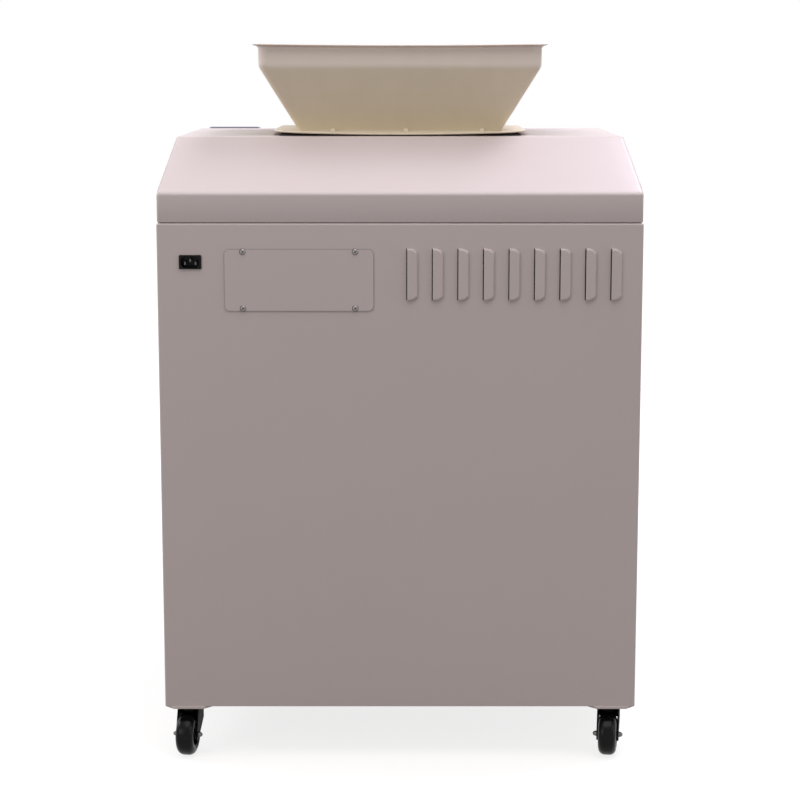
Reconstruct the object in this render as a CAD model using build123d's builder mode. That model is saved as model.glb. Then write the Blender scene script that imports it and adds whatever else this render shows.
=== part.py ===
from build123d import *
import os
from math import acos, atan2, cos, pi, radians, sin, tan

# Multifunction shredder: a sheet-metal cabinet on four swivel casters, with a sloped hood, a
# lift-off plastic hopper, a pull-out waste bin and a geared twin-shaft cutter block inside.
# Millimetres. +Z is up, the origin is on the floor under the middle of the cabinet, the back
# with the mains inlet and the louvres faces -Y, and the bin pulls out towards +Y.

os.makedirs("parts", exist_ok=True)

# Cabinet
cabinet_width = 640.0
cabinet_depth = 510.0
cabinet_height = 658.0
cabinet_bottom = 72.0
sheet = 1.5
fold_radius = 3.0
top_fold_radius = 2.5
top_flange = 22.0
stile_width = 18.0
bottom_rail = 14.0
header_rail = 20.0
floor_lip = 10.0

# Hood
hood_seal = 1.5
hood_seal_width = 10.0
hood_seal_inset = 4.0
hood_inset = 0.6
hood_corner = 5.0
hood_flange = 16.0
skirt_height = 37.5
slope_height = 70.0
deck_side_run = 17.9
deck_back_run = 99.0
deck_front_run = 69.0

# Hopper
hopper_y = -10.0
hopper_wall = 3.0
throat_width = 276.0
throat_depth = 170.0
throat_play = 2.0
foot_step = 4.0
foot_corner = 10.0
spigot_length = 14.0
taper_height = 89.5
flare_x = 51.0
flare_y = 56.0
collar_height = 30.0
collar_corner = 12.0
lip_overhang = 8.0
lip_thickness = 2.2
flange_reach_x = 35.5
flange_reach_y = 40.0
flange_corner = 14.0
flange_thickness = 2.5
flange_bow = 3.0
hopper_seal = 1.5
hopper_seal_inset = 8.0
rib_pitch = 107.0
rib_shift = 9.0
rib_thickness = 2.5
rib_reach = 9.0

# Back panel: service cover, mains inlet and louvres
service_side_inset = 88.5
service_middle_inset = 34.5
service_drop = 74.8
service_height = 82.0
service_corner = 7.0
service_thickness = 1.2
service_margin_x = 10.5
service_margin_z = 12.0
screw_inset_x = 24.5
screw_inset_z = 3.6
screw_radius = 2.0
screw_head_radius = 4.0
screw_head_height = 2.4
screw_length = 8.0
inlet_side_inset = 44.1
inlet_drop = 50.8
inlet_flange_corner = 1.5
inlet_flange_width = 29.5
inlet_flange_height = 18.4
inlet_flange_thickness = 2.0
inlet_body_width = 27.0
inlet_body_height = 17.0
inlet_body_depth = 22.0
inlet_socket_width = 24.5
inlet_socket_height = 15.6
inlet_socket_depth = 16.0
inlet_socket_corner = 4.0
inlet_pin_spacing = 14.0
inlet_pin_width = 2.0
inlet_pin_height = 4.0
inlet_pin_length = 14.5
inlet_tab_length = 8.0
inlet_earth_rise = 4.0
louvre_count = 9
louvre_first_x = 16.3
louvre_side_inset = 34.9
louvre_drop = 67.6
louvre_width = 13.6
louvre_height = 69.8
louvre_rise = 4.2
louvre_wall = 1.0
louvre_end = 7.5
louvre_round = 3.0
louvre_slit = 1.2

# Machine shelf and cutter block
machine_drop = 200.0
shelf_thickness = 2.0
shelf_lip = 18.0
block_y = hopper_y
side_plate_thickness = 12.0
block_margin = 6.0
block_depth = 190.0
block_height = 167.0
gear_plate_inset = 27.0
shaft_height = 95.0
shaft_distance = 62.0
hex_flats = 30.0
journal_radius = 14.0
collar_radius = 20.0
shoulder_play = 0.5
running_play = 0.05
press_play = 0.02
bush_radius = 20.0
bush_flange_radius = 24.0
bush_flange = 2.0
disc_count = 14
disc_side_play = 0.4
stack_end = 4.0
stack_play = 0.05
disc_radius = 38.0
disc_root_radius = 31.0
hook_count = 5
hub_radius = 23.0
finger_play = 1.0
finger_seat = 0.05
finger_tip = 4.0
finger_root = 12.0
comb_bar = 12.0
tie_rod_radius = 5.0
tie_rod_inset = 6.0
tie_rod_rise = 18.0
tie_rod_gap = 2.0
bolt_head_radius = 7.0
bolt_head_height = 6.0
bolt_drop = 12.0

# Gear train
pressure_angle = radians(20.0)
addendum = 0.9
dedendum = 1.25
tooth_share = 0.47
sync_teeth = 31
sync_module = 2.0
sync_face = 12.0
train_module = 2.5
drive_teeth = 48
pinion_teeth = 12
idler_teeth = 44
drive_face = 14.0
idler_face = 10.0
gear_gap = 4.0
stage_gap = 1.0
idler_angle = 200.0
motor_angle = 165.0
stud_radius = 8.0
stud_head_radius = 12.0
stud_head = 3.0

# Motor
motor_radius = 54.0
motor_length = 190.0
motor_fin_depth = 4.0
motor_fin_count = 24
motor_shaft_radius = 7.0
motor_foot_width = 70.0
motor_foot_length = 90.0
cowl_length = 42.0
cowl_wall = 2.0
fan_radius = 42.0
fan_width = 20.0
fan_blades = 7

# Electrics behind the service cover
board_width = 94.0
board_height = 88.0
board_thickness = 1.6
board_shift = 17.0
relay_width = 28.0
relay_height = 15.0
relay_places = ((-22.0, 20.0), (-22.0, -4.0))
transformer_width = 26.0
transformer_height = 34.0
transformer_place = (24.0, 12.0)
terminal_width = 70.0
terminal_height = 9.0
terminal_place = (0.0, -32.0)
board_part_depth = 14.0
standoff_radius = 2.5
standoff_length = 9.0
standoff_x = 80.0
standoff_z = 76.0
capacitor_radius = 18.0
capacitor_height = 72.0
capacitor_round = 2.0
capacitor_inset = 6.0
capacitor_back_gap = 65.0

# Feed chute between the deck and the cutter block
chute_play_x = 8.0
chute_play_y = 2.0
chute_flange = 10.0

# Waste bin drawer
drawer_gap = 2.0
drawer_drop = 6.0
drawer_face_depth = 28.0
drawer_flange = 20.0
rail_space = 28.5
bin_back_gap = 19.0
bin_wall = 3.0
bin_bottom = 94.0
bin_drop = 19.0
bin_corner = 12.0
rail_drop = 104.0
rail_height = 45.0
rail_sheet = 1.5
rail_play = 0.3
rail_depth = 12.0
rail_end_gap = 70.0
spacer_length = 30.0
pull_width = 130.0
pull_height = 56.0
pull_depth = 22.0
pull_wall = 2.0
pull_rim = 8.0
pull_proud = 10.0
pull_corner = 6.0
pull_plate = 2.0
pull_lip = 3.0
pull_lip_drop = 14.0
pull_drop = 84.0

# Control panel on the front slope
panel_side_inset = 51.5
panel_corner = 6.0
panel_width = 80.0
panel_length = 66.0
panel_thickness = 5.0
panel_from_edge = 2.0
panel_floor = 1.0
button_radius = 7.0
button_play = 0.3
button_height = 4.0
button_pitch = 22.0
button_drop = 8.0
button_proud = 2.3
lamp_rise = 16.0
lamp_radius = 2.5

# Casters
wheel_radius = 28.5
wheel_width = 24.5
tyre_depth = 10.5
tread_round = 9.0
wheel_web_inset = 1.0
dish_depth = 5.0
dish_inset = 3.0
caster_inset = 32.0
caster_trail = 19.0
caster_yaw = 9.0
gusset_size = 64.5
gusset_thickness = 3.0
gusset_proud = 3.0
gusset_chamfer = 12.0
fork_width = 30.0
fork_leg = 2.2
fork_top_radius = 15.0
fork_front = 10.8
fork_back = 15.0
fork_skirt_bottom = 45.0
fork_shoulder = 1.0
fork_crown_top = 65.7
fork_crown_bottom = 59.0
fork_foot_radius = 9.0
race_radius = 14.0
race_play = 0.3
kingpin_radius = 5.0
axle_radius = 3.2
axle_head_radius = 5.2
axle_head = 5.2
stem_nut_radius = 9.5
stem_nut_height = 7.0
stem_end = 2.0

# Places worked out from the sizes above
cabinet_top = cabinet_bottom + cabinet_height
back_y = -cabinet_depth / 2
front_y = cabinet_depth / 2
inner_width = cabinet_width - 2 * sheet
inner_depth = cabinet_depth - 2 * sheet
opening_width = cabinet_width - 2 * stile_width
opening_bottom = cabinet_bottom + bottom_rail
opening_top = cabinet_top - header_rail
hood_bottom = cabinet_top + hood_seal
eave_z = hood_bottom + skirt_height
deck_z = eave_z + slope_height
hood_width = cabinet_width - 2 * hood_inset
hood_depth = cabinet_depth - 2 * hood_inset
deck_width = hood_width - 2 * deck_side_run
deck_depth = hood_depth - deck_back_run - deck_front_run
deck_y = (deck_back_run - deck_front_run) / 2
service_width = cabinet_width / 2 - service_side_inset - service_middle_inset
service_x = -service_middle_inset - service_width / 2
service_z = cabinet_top - service_drop
service_screw_x = service_width - 2 * screw_inset_x
service_screw_z = service_height - 2 * screw_inset_z
inlet_x = -cabinet_width / 2 + inlet_side_inset
inlet_z = cabinet_top - inlet_drop
louvre_z = cabinet_top - louvre_drop
louvre_pitch = (cabinet_width / 2 - louvre_side_inset - louvre_first_x) / (louvre_count - 1)
foot_width = throat_width + 2 * foot_step
foot_depth = throat_depth + 2 * foot_step
collar_width = throat_width + 2 * flare_x
collar_depth = throat_depth + 2 * flare_y
flange_width = throat_width + 2 * flange_reach_x
flange_depth = throat_depth + 2 * flange_reach_y
chute_width = throat_width + 2 * chute_play_x
chute_depth = throat_depth + 2 * chute_play_y
shelf_top = cabinet_top - machine_drop
block_inner_width = throat_width + 2 * block_margin
gear_plate_back_y = back_y + gear_plate_inset
disc_pitch = (block_inner_width - 2 * stack_end) / disc_count
disc_thickness = disc_pitch / 2 - disc_side_play
finger_thickness = disc_thickness
tie_rod_z = shelf_top + tie_rod_rise
block_top = shelf_top + block_height
shaft_z = shelf_top + shaft_height
shaft_a_y = block_y - shaft_distance / 2
shaft_b_y = block_y + shaft_distance / 2
plate_inner_x = block_inner_width / 2
plate_outer_x = plate_inner_x + side_plate_thickness
stack_start = -disc_count * disc_pitch / 2
idler_distance = train_module * (drive_teeth + pinion_teeth) / 2
motor_distance = train_module * (idler_teeth + pinion_teeth) / 2
idler_y = shaft_a_y + idler_distance * cos(radians(idler_angle))
idler_z = shaft_z + idler_distance * sin(radians(idler_angle))
motor_y = idler_y + motor_distance * cos(radians(motor_angle))
motor_z = idler_z + motor_distance * sin(radians(motor_angle))
drive_x = plate_outer_x + gear_gap
second_x = drive_x + drive_face + stage_gap
board_x = service_x - board_shift
capacitor_x = -plate_outer_x + capacitor_inset
capacitor_y = back_y + capacitor_back_gap
drawer_top = shelf_top - drawer_drop
bin_width = inner_width - 2 * rail_space
bin_back_y = back_y + bin_back_gap
bin_top = drawer_top - bin_drop
rail_z = drawer_top - rail_drop
rail_length = cabinet_depth - rail_end_gap
pull_z = drawer_top - pull_drop
panel_x = -deck_width / 2 + panel_side_inset
wheel_bore = axle_radius + running_play
foot_z = deck_z + hopper_seal + flange_thickness
collar_z = foot_z + taper_height
rim_z = collar_z + collar_height

# The back panel's outer face, with its normal pointing out of the machine
back_plane = Plane.XZ.offset(cabinet_depth / 2)


def save(piece, name):
    """Name a finished piece and write it as a STEP file."""
    piece.part.label = name
    export_step(piece.part, f"parts/{name}.step")


# Cabinet shell: one folded wrap of sheet steel with a flange round the top, stiles, a bottom
# rail and a header round the front opening, and nine louvres pressed out of the back panel
def louvre_form(wall, base):
    """A louvre's body drawn in by a wall: open along its straight left side, with ends that
    curve in to the right and a rounded shoulder where it rises from the panel."""
    left = -louvre_width / 2
    reach = louvre_width - wall
    low = louvre_height / 2 - louvre_end
    end = louvre_end - wall
    with BuildPart() as form:
        with BuildSketch(Plane.XZ.offset(-base)):
            with BuildLine():
                Line((left, -low - end), (left, low + end))
                EllipticalCenterArc((left, low), reach, end, start_angle=0, arc_size=90)
                Line((left + reach, low), (left + reach, -low))
                EllipticalCenterArc((left, -low), reach, end, start_angle=270, arc_size=90)
            make_face()
        extrude(amount=louvre_rise - wall + base)
        outer_edges = form.faces().sort_by(Axis.Y)[0].edges().sort_by(Axis.X)
        fillet(outer_edges[1:], louvre_round - wall)
    return form.part


louvre_skin = louvre_form(0, 0)
louvre_hollow = louvre_form(louvre_wall, sheet)
louvre_places = [
    (louvre_first_x + i * louvre_pitch, back_y, louvre_z) for i in range(louvre_count)
]

with BuildPart() as cabinet_shell:
    with BuildSketch(Plane.XY.offset(cabinet_bottom)):
        RectangleRounded(cabinet_width, cabinet_depth, fold_radius)
    extrude(amount=cabinet_height)
    fillet(cabinet_shell.faces().sort_by(Axis.Z)[-1].edges(), top_fold_radius)
    with BuildSketch(Plane.XY.offset(cabinet_bottom)):
        RectangleRounded(inner_width, inner_depth, fold_radius - sheet)
    extrude(amount=cabinet_height - sheet, mode=Mode.SUBTRACT)
    with BuildSketch(Plane.XY.offset(cabinet_top - sheet)):
        Rectangle(cabinet_width - 2 * top_flange, cabinet_depth - 2 * top_flange)
    extrude(amount=sheet, mode=Mode.SUBTRACT)
    with BuildSketch(Plane.XZ.offset(-front_y)):
        with Locations((0, (opening_bottom + opening_top) / 2)):
            Rectangle(opening_width, opening_top - opening_bottom)
    extrude(amount=sheet, mode=Mode.SUBTRACT)
    with BuildSketch(back_plane):
        with Locations((service_x, service_z)):
            RectangleRounded(
                service_width - 2 * service_margin_x,
                service_height - 2 * service_margin_z,
                service_corner,
            )
            with GridLocations(service_screw_x, service_screw_z, 2, 2):
                Circle(screw_radius + press_play)
        with Locations((inlet_x, inlet_z)):
            Rectangle(inlet_body_width + 2 * press_play, inlet_body_height + 2 * press_play)
    extrude(amount=-sheet, mode=Mode.SUBTRACT)
    with Locations(*louvre_places):
        add(louvre_skin)
    with Locations(*louvre_places):
        add(louvre_hollow, mode=Mode.SUBTRACT)
    with BuildSketch(back_plane):
        with Locations(*[(x - (louvre_width + louvre_slit) / 2, z) for x, y, z in louvre_places]):
            Rectangle(louvre_slit, louvre_height - 2 * louvre_wall)
    extrude(amount=-sheet, mode=Mode.SUBTRACT)
save(cabinet_shell, "cabinet_shell")

# Floor pan: a tray spot-welded inside the shell's lower edge, with a hole for each caster stem
caster_places = [
    (side * (cabinet_width / 2 - caster_inset), end * (cabinet_depth / 2 - caster_inset))
    for end in (-1, 1)
    for side in (-1, 1)
]
with BuildPart() as floor_pan:
    with BuildSketch(Plane.XY.offset(cabinet_bottom)):
        RectangleRounded(inner_width, inner_depth, fold_radius - sheet)
    extrude(amount=floor_lip)
    with BuildSketch(Plane.XY.offset(cabinet_bottom + sheet)):
        Rectangle(inner_width - 2 * sheet, inner_depth - 2 * sheet)
    extrude(amount=floor_lip - sheet, mode=Mode.SUBTRACT)
    with BuildSketch(Plane.XY.offset(cabinet_bottom)):
        with Locations(*caster_places):
            Circle(kingpin_radius + press_play)
    extrude(amount=sheet, mode=Mode.SUBTRACT)
save(floor_pan, "floor_pan")

# Upper front panel: a removable pan between the stiles that stands on the machine shelf
with BuildPart() as front_panel:
    pan_bottom = shelf_top
    pan_top = opening_top - drawer_gap
    with BuildSketch(Plane.XZ.offset(-front_y)):
        with Locations((0, (pan_bottom + pan_top) / 2)):
            Rectangle(opening_width - 2 * drawer_gap, pan_top - pan_bottom)
    extrude(amount=drawer_face_depth)
    with BuildSketch(Plane.XZ.offset(-front_y + sheet)):
        with Locations((0, (pan_bottom + pan_top) / 2)):
            Rectangle(opening_width - 2 * drawer_gap - 2 * sheet, pan_top - pan_bottom - 2 * sheet)
    extrude(amount=drawer_face_depth - sheet, mode=Mode.SUBTRACT)
save(front_panel, "front_panel")

# Machine shelf: carries the cutter block and the motor over the bin, open under the cutters
with BuildPart() as machine_shelf:
    with BuildSketch(Plane.XY.offset(shelf_top - shelf_thickness)):
        RectangleRounded(inner_width, inner_depth, fold_radius - sheet)
    extrude(amount=shelf_thickness)
    with BuildSketch(Plane.XY.offset(shelf_top - shelf_thickness)):
        with GridLocations(inner_width - shelf_thickness, 0, 2, 1):
            Rectangle(shelf_thickness, inner_depth - 2 * fold_radius)
    extrude(amount=-shelf_lip)
    with BuildSketch(Plane.XY.offset(shelf_top - shelf_thickness)):
        with Locations((0, block_y)):
            Rectangle(block_inner_width - 4 * shelf_thickness, block_depth - 2 * comb_bar)
    extrude(amount=shelf_thickness, mode=Mode.SUBTRACT)
save(machine_shelf, "machine_shelf")


# Hood: a folded and welded cover whose sides slope in to the deck that carries the hopper
def hood_form(inset, bottom):
    """The hood's body: a straight skirt, then four slopes up to the deck."""
    corner = hood_corner - inset
    with BuildPart() as form:
        with BuildSketch(Plane.XY.offset(bottom)):
            RectangleRounded(hood_width - 2 * inset, hood_depth - 2 * inset, corner)
        extrude(amount=eave_z - bottom)
        with BuildSketch(Plane.XY.offset(eave_z)):
            RectangleRounded(hood_width - 2 * inset, hood_depth - 2 * inset, corner)
        with BuildSketch(Plane.XY.offset(deck_z - inset)):
            with Locations((0, deck_y)):
                RectangleRounded(deck_width - 2 * inset, deck_depth - 2 * inset, corner)
        loft()
    return form.part


with BuildPart() as top_hood:
    add(hood_form(0, hood_bottom))
    add(hood_form(sheet, hood_bottom + sheet), mode=Mode.SUBTRACT)
    with BuildSketch(Plane.XY.offset(hood_bottom)):
        Rectangle(hood_width - 2 * hood_flange, hood_depth - 2 * hood_flange)
    extrude(amount=sheet, mode=Mode.SUBTRACT)
    with BuildSketch(Plane.XY.offset(deck_z - sheet)):
        with Locations((0, hopper_y)):
            RectangleRounded(
                throat_width + 2 * throat_play, throat_depth + 2 * throat_play, foot_corner
            )
    extrude(amount=sheet, mode=Mode.SUBTRACT)
save(top_hood, "top_hood")

# Hood seal: a flat rubber frame between the cabinet's top flange and the hood's flange
with BuildPart() as hood_gasket:
    with BuildSketch(Plane.XY.offset(cabinet_top)):
        RectangleRounded(
            cabinet_width - 2 * hood_seal_inset, cabinet_depth - 2 * hood_seal_inset, fold_radius
        )
        Rectangle(
            cabinet_width - 2 * hood_seal_inset - 2 * hood_seal_width,
            cabinet_depth - 2 * hood_seal_inset - 2 * hood_seal_width,
            mode=Mode.SUBTRACT,
        )
    extrude(amount=hood_seal)
save(hood_gasket, "hood_gasket")

# Service cover and its four pan-head screws
with BuildPart() as service_cover:
    with BuildSketch(back_plane):
        with Locations((service_x, service_z)):
            RectangleRounded(service_width, service_height, service_corner)
            with GridLocations(service_screw_x, service_screw_z, 2, 2):
                Circle(screw_radius + press_play, mode=Mode.SUBTRACT)
    extrude(amount=service_thickness)
save(service_cover, "service_cover")

with BuildPart() as service_screws:
    with BuildSketch(back_plane.offset(service_thickness)):
        with Locations((service_x, service_z)):
            with GridLocations(service_screw_x, service_screw_z, 2, 2):
                Circle(screw_head_radius)
    extrude(amount=screw_head_height)
    fillet(service_screws.faces().sort_by(Axis.Y)[:4].edges(), 0.8 * screw_head_height)
    with BuildSketch(back_plane.offset(service_thickness)):
        with Locations((service_x, service_z)):
            with GridLocations(service_screw_x, service_screw_z, 2, 2):
                Circle(screw_radius)
    extrude(amount=-screw_length)
save(service_screws, "service_screws")

# Mains inlet: a three-pin appliance inlet that snaps into the back panel
with BuildPart() as inlet_housing:
    with BuildSketch(back_plane):
        with Locations((inlet_x, inlet_z)):
            RectangleRounded(inlet_flange_width, inlet_flange_height, inlet_flange_corner)
    extrude(amount=inlet_flange_thickness)
    with BuildSketch(back_plane):
        with Locations((inlet_x, inlet_z)):
            Rectangle(inlet_body_width, inlet_body_height)
    extrude(amount=-inlet_body_depth)
    with BuildSketch(back_plane.offset(inlet_flange_thickness)) as socket_mouth:
        with Locations((inlet_x, inlet_z)):
            Rectangle(inlet_socket_width, inlet_socket_height)
        chamfer(socket_mouth.vertices().group_by(Axis.Z)[-1], inlet_socket_corner)
    extrude(amount=-inlet_flange_thickness - inlet_socket_depth, mode=Mode.SUBTRACT)
    with BuildSketch(back_plane.offset(-inlet_body_depth)):
        with Locations(
            (inlet_x - inlet_pin_spacing / 2, inlet_z - inlet_earth_rise / 2),
            (inlet_x, inlet_z + inlet_earth_rise / 2),
            (inlet_x + inlet_pin_spacing / 2, inlet_z - inlet_earth_rise / 2),
        ):
            Rectangle(inlet_pin_width, inlet_pin_height)
    extrude(amount=inlet_body_depth - inlet_socket_depth, mode=Mode.SUBTRACT)
save(inlet_housing, "inlet_housing")

with BuildPart() as inlet_pins:
    with BuildSketch(back_plane.offset(-inlet_body_depth - inlet_tab_length)):
        with Locations(
            (inlet_x - inlet_pin_spacing / 2, inlet_z - inlet_earth_rise / 2),
            (inlet_x, inlet_z + inlet_earth_rise / 2),
            (inlet_x + inlet_pin_spacing / 2, inlet_z - inlet_earth_rise / 2),
        ):
            Rectangle(inlet_pin_width, inlet_pin_height)
    extrude(amount=inlet_tab_length + inlet_body_depth - inlet_socket_depth + inlet_pin_length)
save(inlet_pins, "inlet_pins")

# Control board on four standoffs behind the service cover, and the motor's run capacitor
with BuildPart() as control_board:
    with BuildSketch(back_plane.offset(-sheet)):
        with Locations((board_x, service_z)):
            with GridLocations(standoff_x, standoff_z, 2, 2):
                Circle(standoff_radius)
    extrude(amount=-standoff_length)
    with BuildSketch(back_plane.offset(-sheet - standoff_length)):
        with Locations((board_x, service_z)):
            Rectangle(board_width, board_height)
    extrude(amount=-board_thickness)
    with BuildSketch(back_plane.offset(-sheet - standoff_length - board_thickness)):
        with Locations((board_x, service_z)):
            with Locations(*relay_places):
                Rectangle(relay_width, relay_height)
            with Locations(transformer_place):
                Rectangle(transformer_width, transformer_height)
            with Locations(terminal_place):
                Rectangle(terminal_width, terminal_height)
    extrude(amount=-board_part_depth)
save(control_board, "control_board")

with BuildPart() as run_capacitor:
    with BuildSketch(Plane.XY.offset(shelf_top)):
        with Locations((capacitor_x, capacitor_y)):
            Circle(capacitor_radius)
    extrude(amount=capacitor_height)
    fillet(run_capacitor.edges().filter_by(GeomType.CIRCLE).sort_by(Axis.Z)[-1], capacitor_round)
save(run_capacitor, "run_capacitor")

# Feed chute: a sheet duct from the deck down onto the cutter block
with BuildPart() as feed_chute:
    with BuildSketch(Plane.XY.offset(block_top)):
        with Locations((0, block_y)):
            Rectangle(chute_width + 2 * sheet, chute_depth + 2 * sheet)
    extrude(amount=deck_z - sheet - block_top)
    with BuildSketch(Plane.XY.offset(deck_z - 2 * sheet)):
        with Locations((0, block_y)):
            Rectangle(chute_width + 2 * chute_flange, chute_depth + 2 * chute_flange)
    extrude(amount=sheet)
    with BuildSketch(Plane.XY.offset(block_top)):
        with Locations((0, block_y)):
            Rectangle(chute_width, chute_depth)
    extrude(amount=deck_z - sheet - block_top, mode=Mode.SUBTRACT)
save(feed_chute, "feed_chute")


# Side plates: thick steel plates that carry both cutter shafts; the right one reaches back to
# carry the idler and the motor
def side_plate(start_x, low_y, holes):
    """A plate across X with its bearing, stud and motor holes, as (y, z, radius)."""
    with BuildPart() as plate:
        high_y = block_y + block_depth / 2
        with BuildSketch(Plane.YZ.offset(start_x)):
            with Locations(((low_y + high_y) / 2, shelf_top + block_height / 2)):
                Rectangle(high_y - low_y, block_height)
            for hole_y, hole_z, hole_radius in holes:
                with Locations((hole_y, hole_z)):
                    Circle(hole_radius, mode=Mode.SUBTRACT)
        extrude(amount=side_plate_thickness)
    return plate


bush_holes = [
    (shaft_a_y, shaft_z, bush_radius + press_play),
    (shaft_b_y, shaft_z, bush_radius + press_play),
]
gear_plate_holes = bush_holes + [
    (idler_y, idler_z, stud_radius + press_play),
    (motor_y, motor_z, motor_shaft_radius + 4),
]
side_plate_left = side_plate(-plate_outer_x, block_y - block_depth / 2, bush_holes)
save(side_plate_left, "side_plate_left")
side_plate_right = side_plate(plate_inner_x, gear_plate_back_y, gear_plate_holes)
save(side_plate_right, "side_plate_right")

# Tie rods under the combs, and the bolt heads that hold rods and combs to the plates
with BuildPart() as tie_rods:
    rod_y = block_depth / 2 - tie_rod_inset
    with BuildSketch(Plane.YZ.offset(-plate_inner_x)):
        with Locations((block_y - rod_y, tie_rod_z), (block_y + rod_y, tie_rod_z)):
            Circle(tie_rod_radius)
    extrude(amount=block_inner_width)
    for plane_x, out in ((-plate_outer_x, -1), (plate_outer_x, 1)):
        with BuildSketch(Plane.YZ.offset(plane_x)):
            with Locations(
                (block_y - rod_y, tie_rod_z),
                (block_y + rod_y, tie_rod_z),
                (block_y - rod_y, block_top - bolt_drop),
                (block_y + rod_y, block_top - bolt_drop),
            ):
                Circle(bolt_head_radius)
                RegularPolygon(bolt_head_radius / 2, 6, mode=Mode.SUBTRACT)
        extrude(amount=out * bolt_head_height)
save(tie_rods, "tie_rods")

# Shaft bushes: flanged bronze bushes, two in each side plate
with BuildPart() as shaft_bushes:
    for plane_x, out in ((-plate_outer_x, -1), (plate_outer_x, 1)):
        with BuildSketch(Plane.YZ.offset(plane_x)):
            with Locations((shaft_a_y, shaft_z), (shaft_b_y, shaft_z)):
                Circle(bush_radius)
        extrude(amount=-out * side_plate_thickness)
        with BuildSketch(Plane.YZ.offset(plane_x)):
            with Locations((shaft_a_y, shaft_z), (shaft_b_y, shaft_z)):
                Circle(bush_flange_radius)
        extrude(amount=out * bush_flange)
    with BuildSketch(Plane.YZ.offset(-plate_outer_x - bush_flange)):
        with Locations((shaft_a_y, shaft_z), (shaft_b_y, shaft_z)):
            Circle(journal_radius + running_play)
    extrude(amount=2 * (plate_outer_x + bush_flange), mode=Mode.SUBTRACT)
save(shaft_bushes, "shaft_bushes")


# Stripper combs: a bar with a finger seated on it in each gap between discs, hollowed round
# the hubs
def stripper_comb(toward, shaft_y, first_finger):
    """The comb on the side that toward points to, -1 at the back and 1 at the front."""
    bar_y = block_y + toward * (block_depth / 2 - comb_bar / 2)
    bar_low = tie_rod_z + tie_rod_radius + tie_rod_gap
    seat = block_y + toward * (block_depth / 2 - comb_bar - finger_seat)
    arc = hub_radius + finger_play
    with BuildPart() as comb:
        with BuildSketch(Plane.YZ.offset(-plate_inner_x)):
            with Locations((bar_y, (block_top + bar_low) / 2)):
                Rectangle(comb_bar, block_top - bar_low)
        extrude(amount=block_inner_width)
        for i in range(disc_count):
            with BuildSketch(Plane.YZ.offset(first_finger + i * disc_pitch)):
                with BuildLine():
                    ThreePointArc(
                        (shaft_y, shaft_z - arc),
                        (shaft_y + toward * arc, shaft_z),
                        (shaft_y, shaft_z + arc),
                    )
                    Polyline(
                        (shaft_y, shaft_z + arc),
                        (shaft_y, shaft_z + arc + finger_tip),
                        (seat, shaft_z + arc + finger_root),
                        (seat, shaft_z - arc - finger_root),
                        (shaft_y, shaft_z - arc - finger_tip),
                        (shaft_y, shaft_z - arc),
                    )
                make_face()
            extrude(amount=finger_thickness)
    return comb


disc_gap = disc_pitch - disc_thickness
side_play = (disc_gap - finger_thickness) / 2
comb_back = stripper_comb(-1, shaft_a_y, stack_start + disc_thickness + side_play)
save(comb_back, "comb_back")
comb_front = stripper_comb(1, shaft_b_y, stack_start)
save(comb_front, "comb_front")


# Cutter shafts: a hexagon between the plates, a thrust collar at each end of it, and journals
def cutter_shaft(axis_y, left_end, right_end):
    """A shaft along X from left_end to right_end."""
    stack_half = disc_count * disc_pitch / 2
    with BuildPart() as shaft:
        with BuildSketch(Plane.YZ.offset(-stack_half)):
            with Locations((axis_y, shaft_z)):
                RegularPolygon(hex_flats / 2, 6, major_radius=False)
        extrude(amount=2 * stack_half)
        for inner_x, out in ((-stack_half, -1), (stack_half, 1)):
            with BuildSketch(Plane.YZ.offset(inner_x)):
                with Locations((axis_y, shaft_z)):
                    Circle(collar_radius)
            extrude(amount=out * (plate_inner_x - stack_half - shoulder_play))
        with BuildSketch(Plane.YZ.offset(left_end)):
            with Locations((axis_y, shaft_z)):
                Circle(journal_radius)
        extrude(amount=-stack_half - left_end)
        with BuildSketch(Plane.YZ.offset(stack_half)):
            with Locations((axis_y, shaft_z)):
                Circle(journal_radius)
        extrude(amount=right_end - stack_half)
    return shaft


journal_left = -plate_outer_x - gear_gap - sync_face - stage_gap
shaft_a = cutter_shaft(shaft_a_y, journal_left, drive_x + drive_face)
save(shaft_a, "shaft_a")
shaft_b = cutter_shaft(shaft_b_y, journal_left, plate_outer_x + bush_flange)
save(shaft_b, "shaft_b")


# Cutters: hooked discs with their hubs, threaded on the hexagon one pitch apart and stepped
# round so that the hooks bite one after another
def cutter_stack(axis_y, disc_offset, turn):
    """The discs of one shaft; disc_offset places the disc within its pitch, turn is the bite's way."""
    with BuildPart() as stack:
        for i in range(disc_count):
            start = stack_start + i * disc_pitch
            step = 2 * pi * i / (hook_count * 3)
            with BuildSketch(Plane.YZ.offset(start)):
                with Locations((axis_y, shaft_z)):
                    Circle(hub_radius)
                    RegularPolygon(hex_flats / 2, 6, major_radius=False, mode=Mode.SUBTRACT)
            extrude(amount=disc_pitch - stack_play)
            with BuildSketch(Plane.YZ.offset(start + disc_offset)):
                with BuildLine():
                    for k in range(hook_count):
                        base = step + turn * 2 * pi * k / hook_count
                        tip = base + turn * radians(6)
                        land = base + turn * radians(16)
                        foot = base + turn * 2 * pi / hook_count
                        ramp = (land + foot) / 2
                        ramp_radius = 0.45 * disc_radius + 0.55 * disc_root_radius
                        hook = [
                            (axis_y + r * cos(a), shaft_z + r * sin(a))
                            for r, a in (
                                (disc_root_radius, base),
                                (disc_radius, tip),
                                (disc_radius, land),
                                (ramp_radius, ramp),
                                (disc_root_radius, foot),
                            )
                        ]
                        Line(hook[0], hook[1])
                        Line(hook[1], hook[2])
                        ThreePointArc(hook[2], hook[3], hook[4])
                make_face()
                with Locations((axis_y, shaft_z)):
                    RegularPolygon(hex_flats / 2, 6, major_radius=False, mode=Mode.SUBTRACT)
            extrude(amount=disc_thickness)
    return stack


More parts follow.
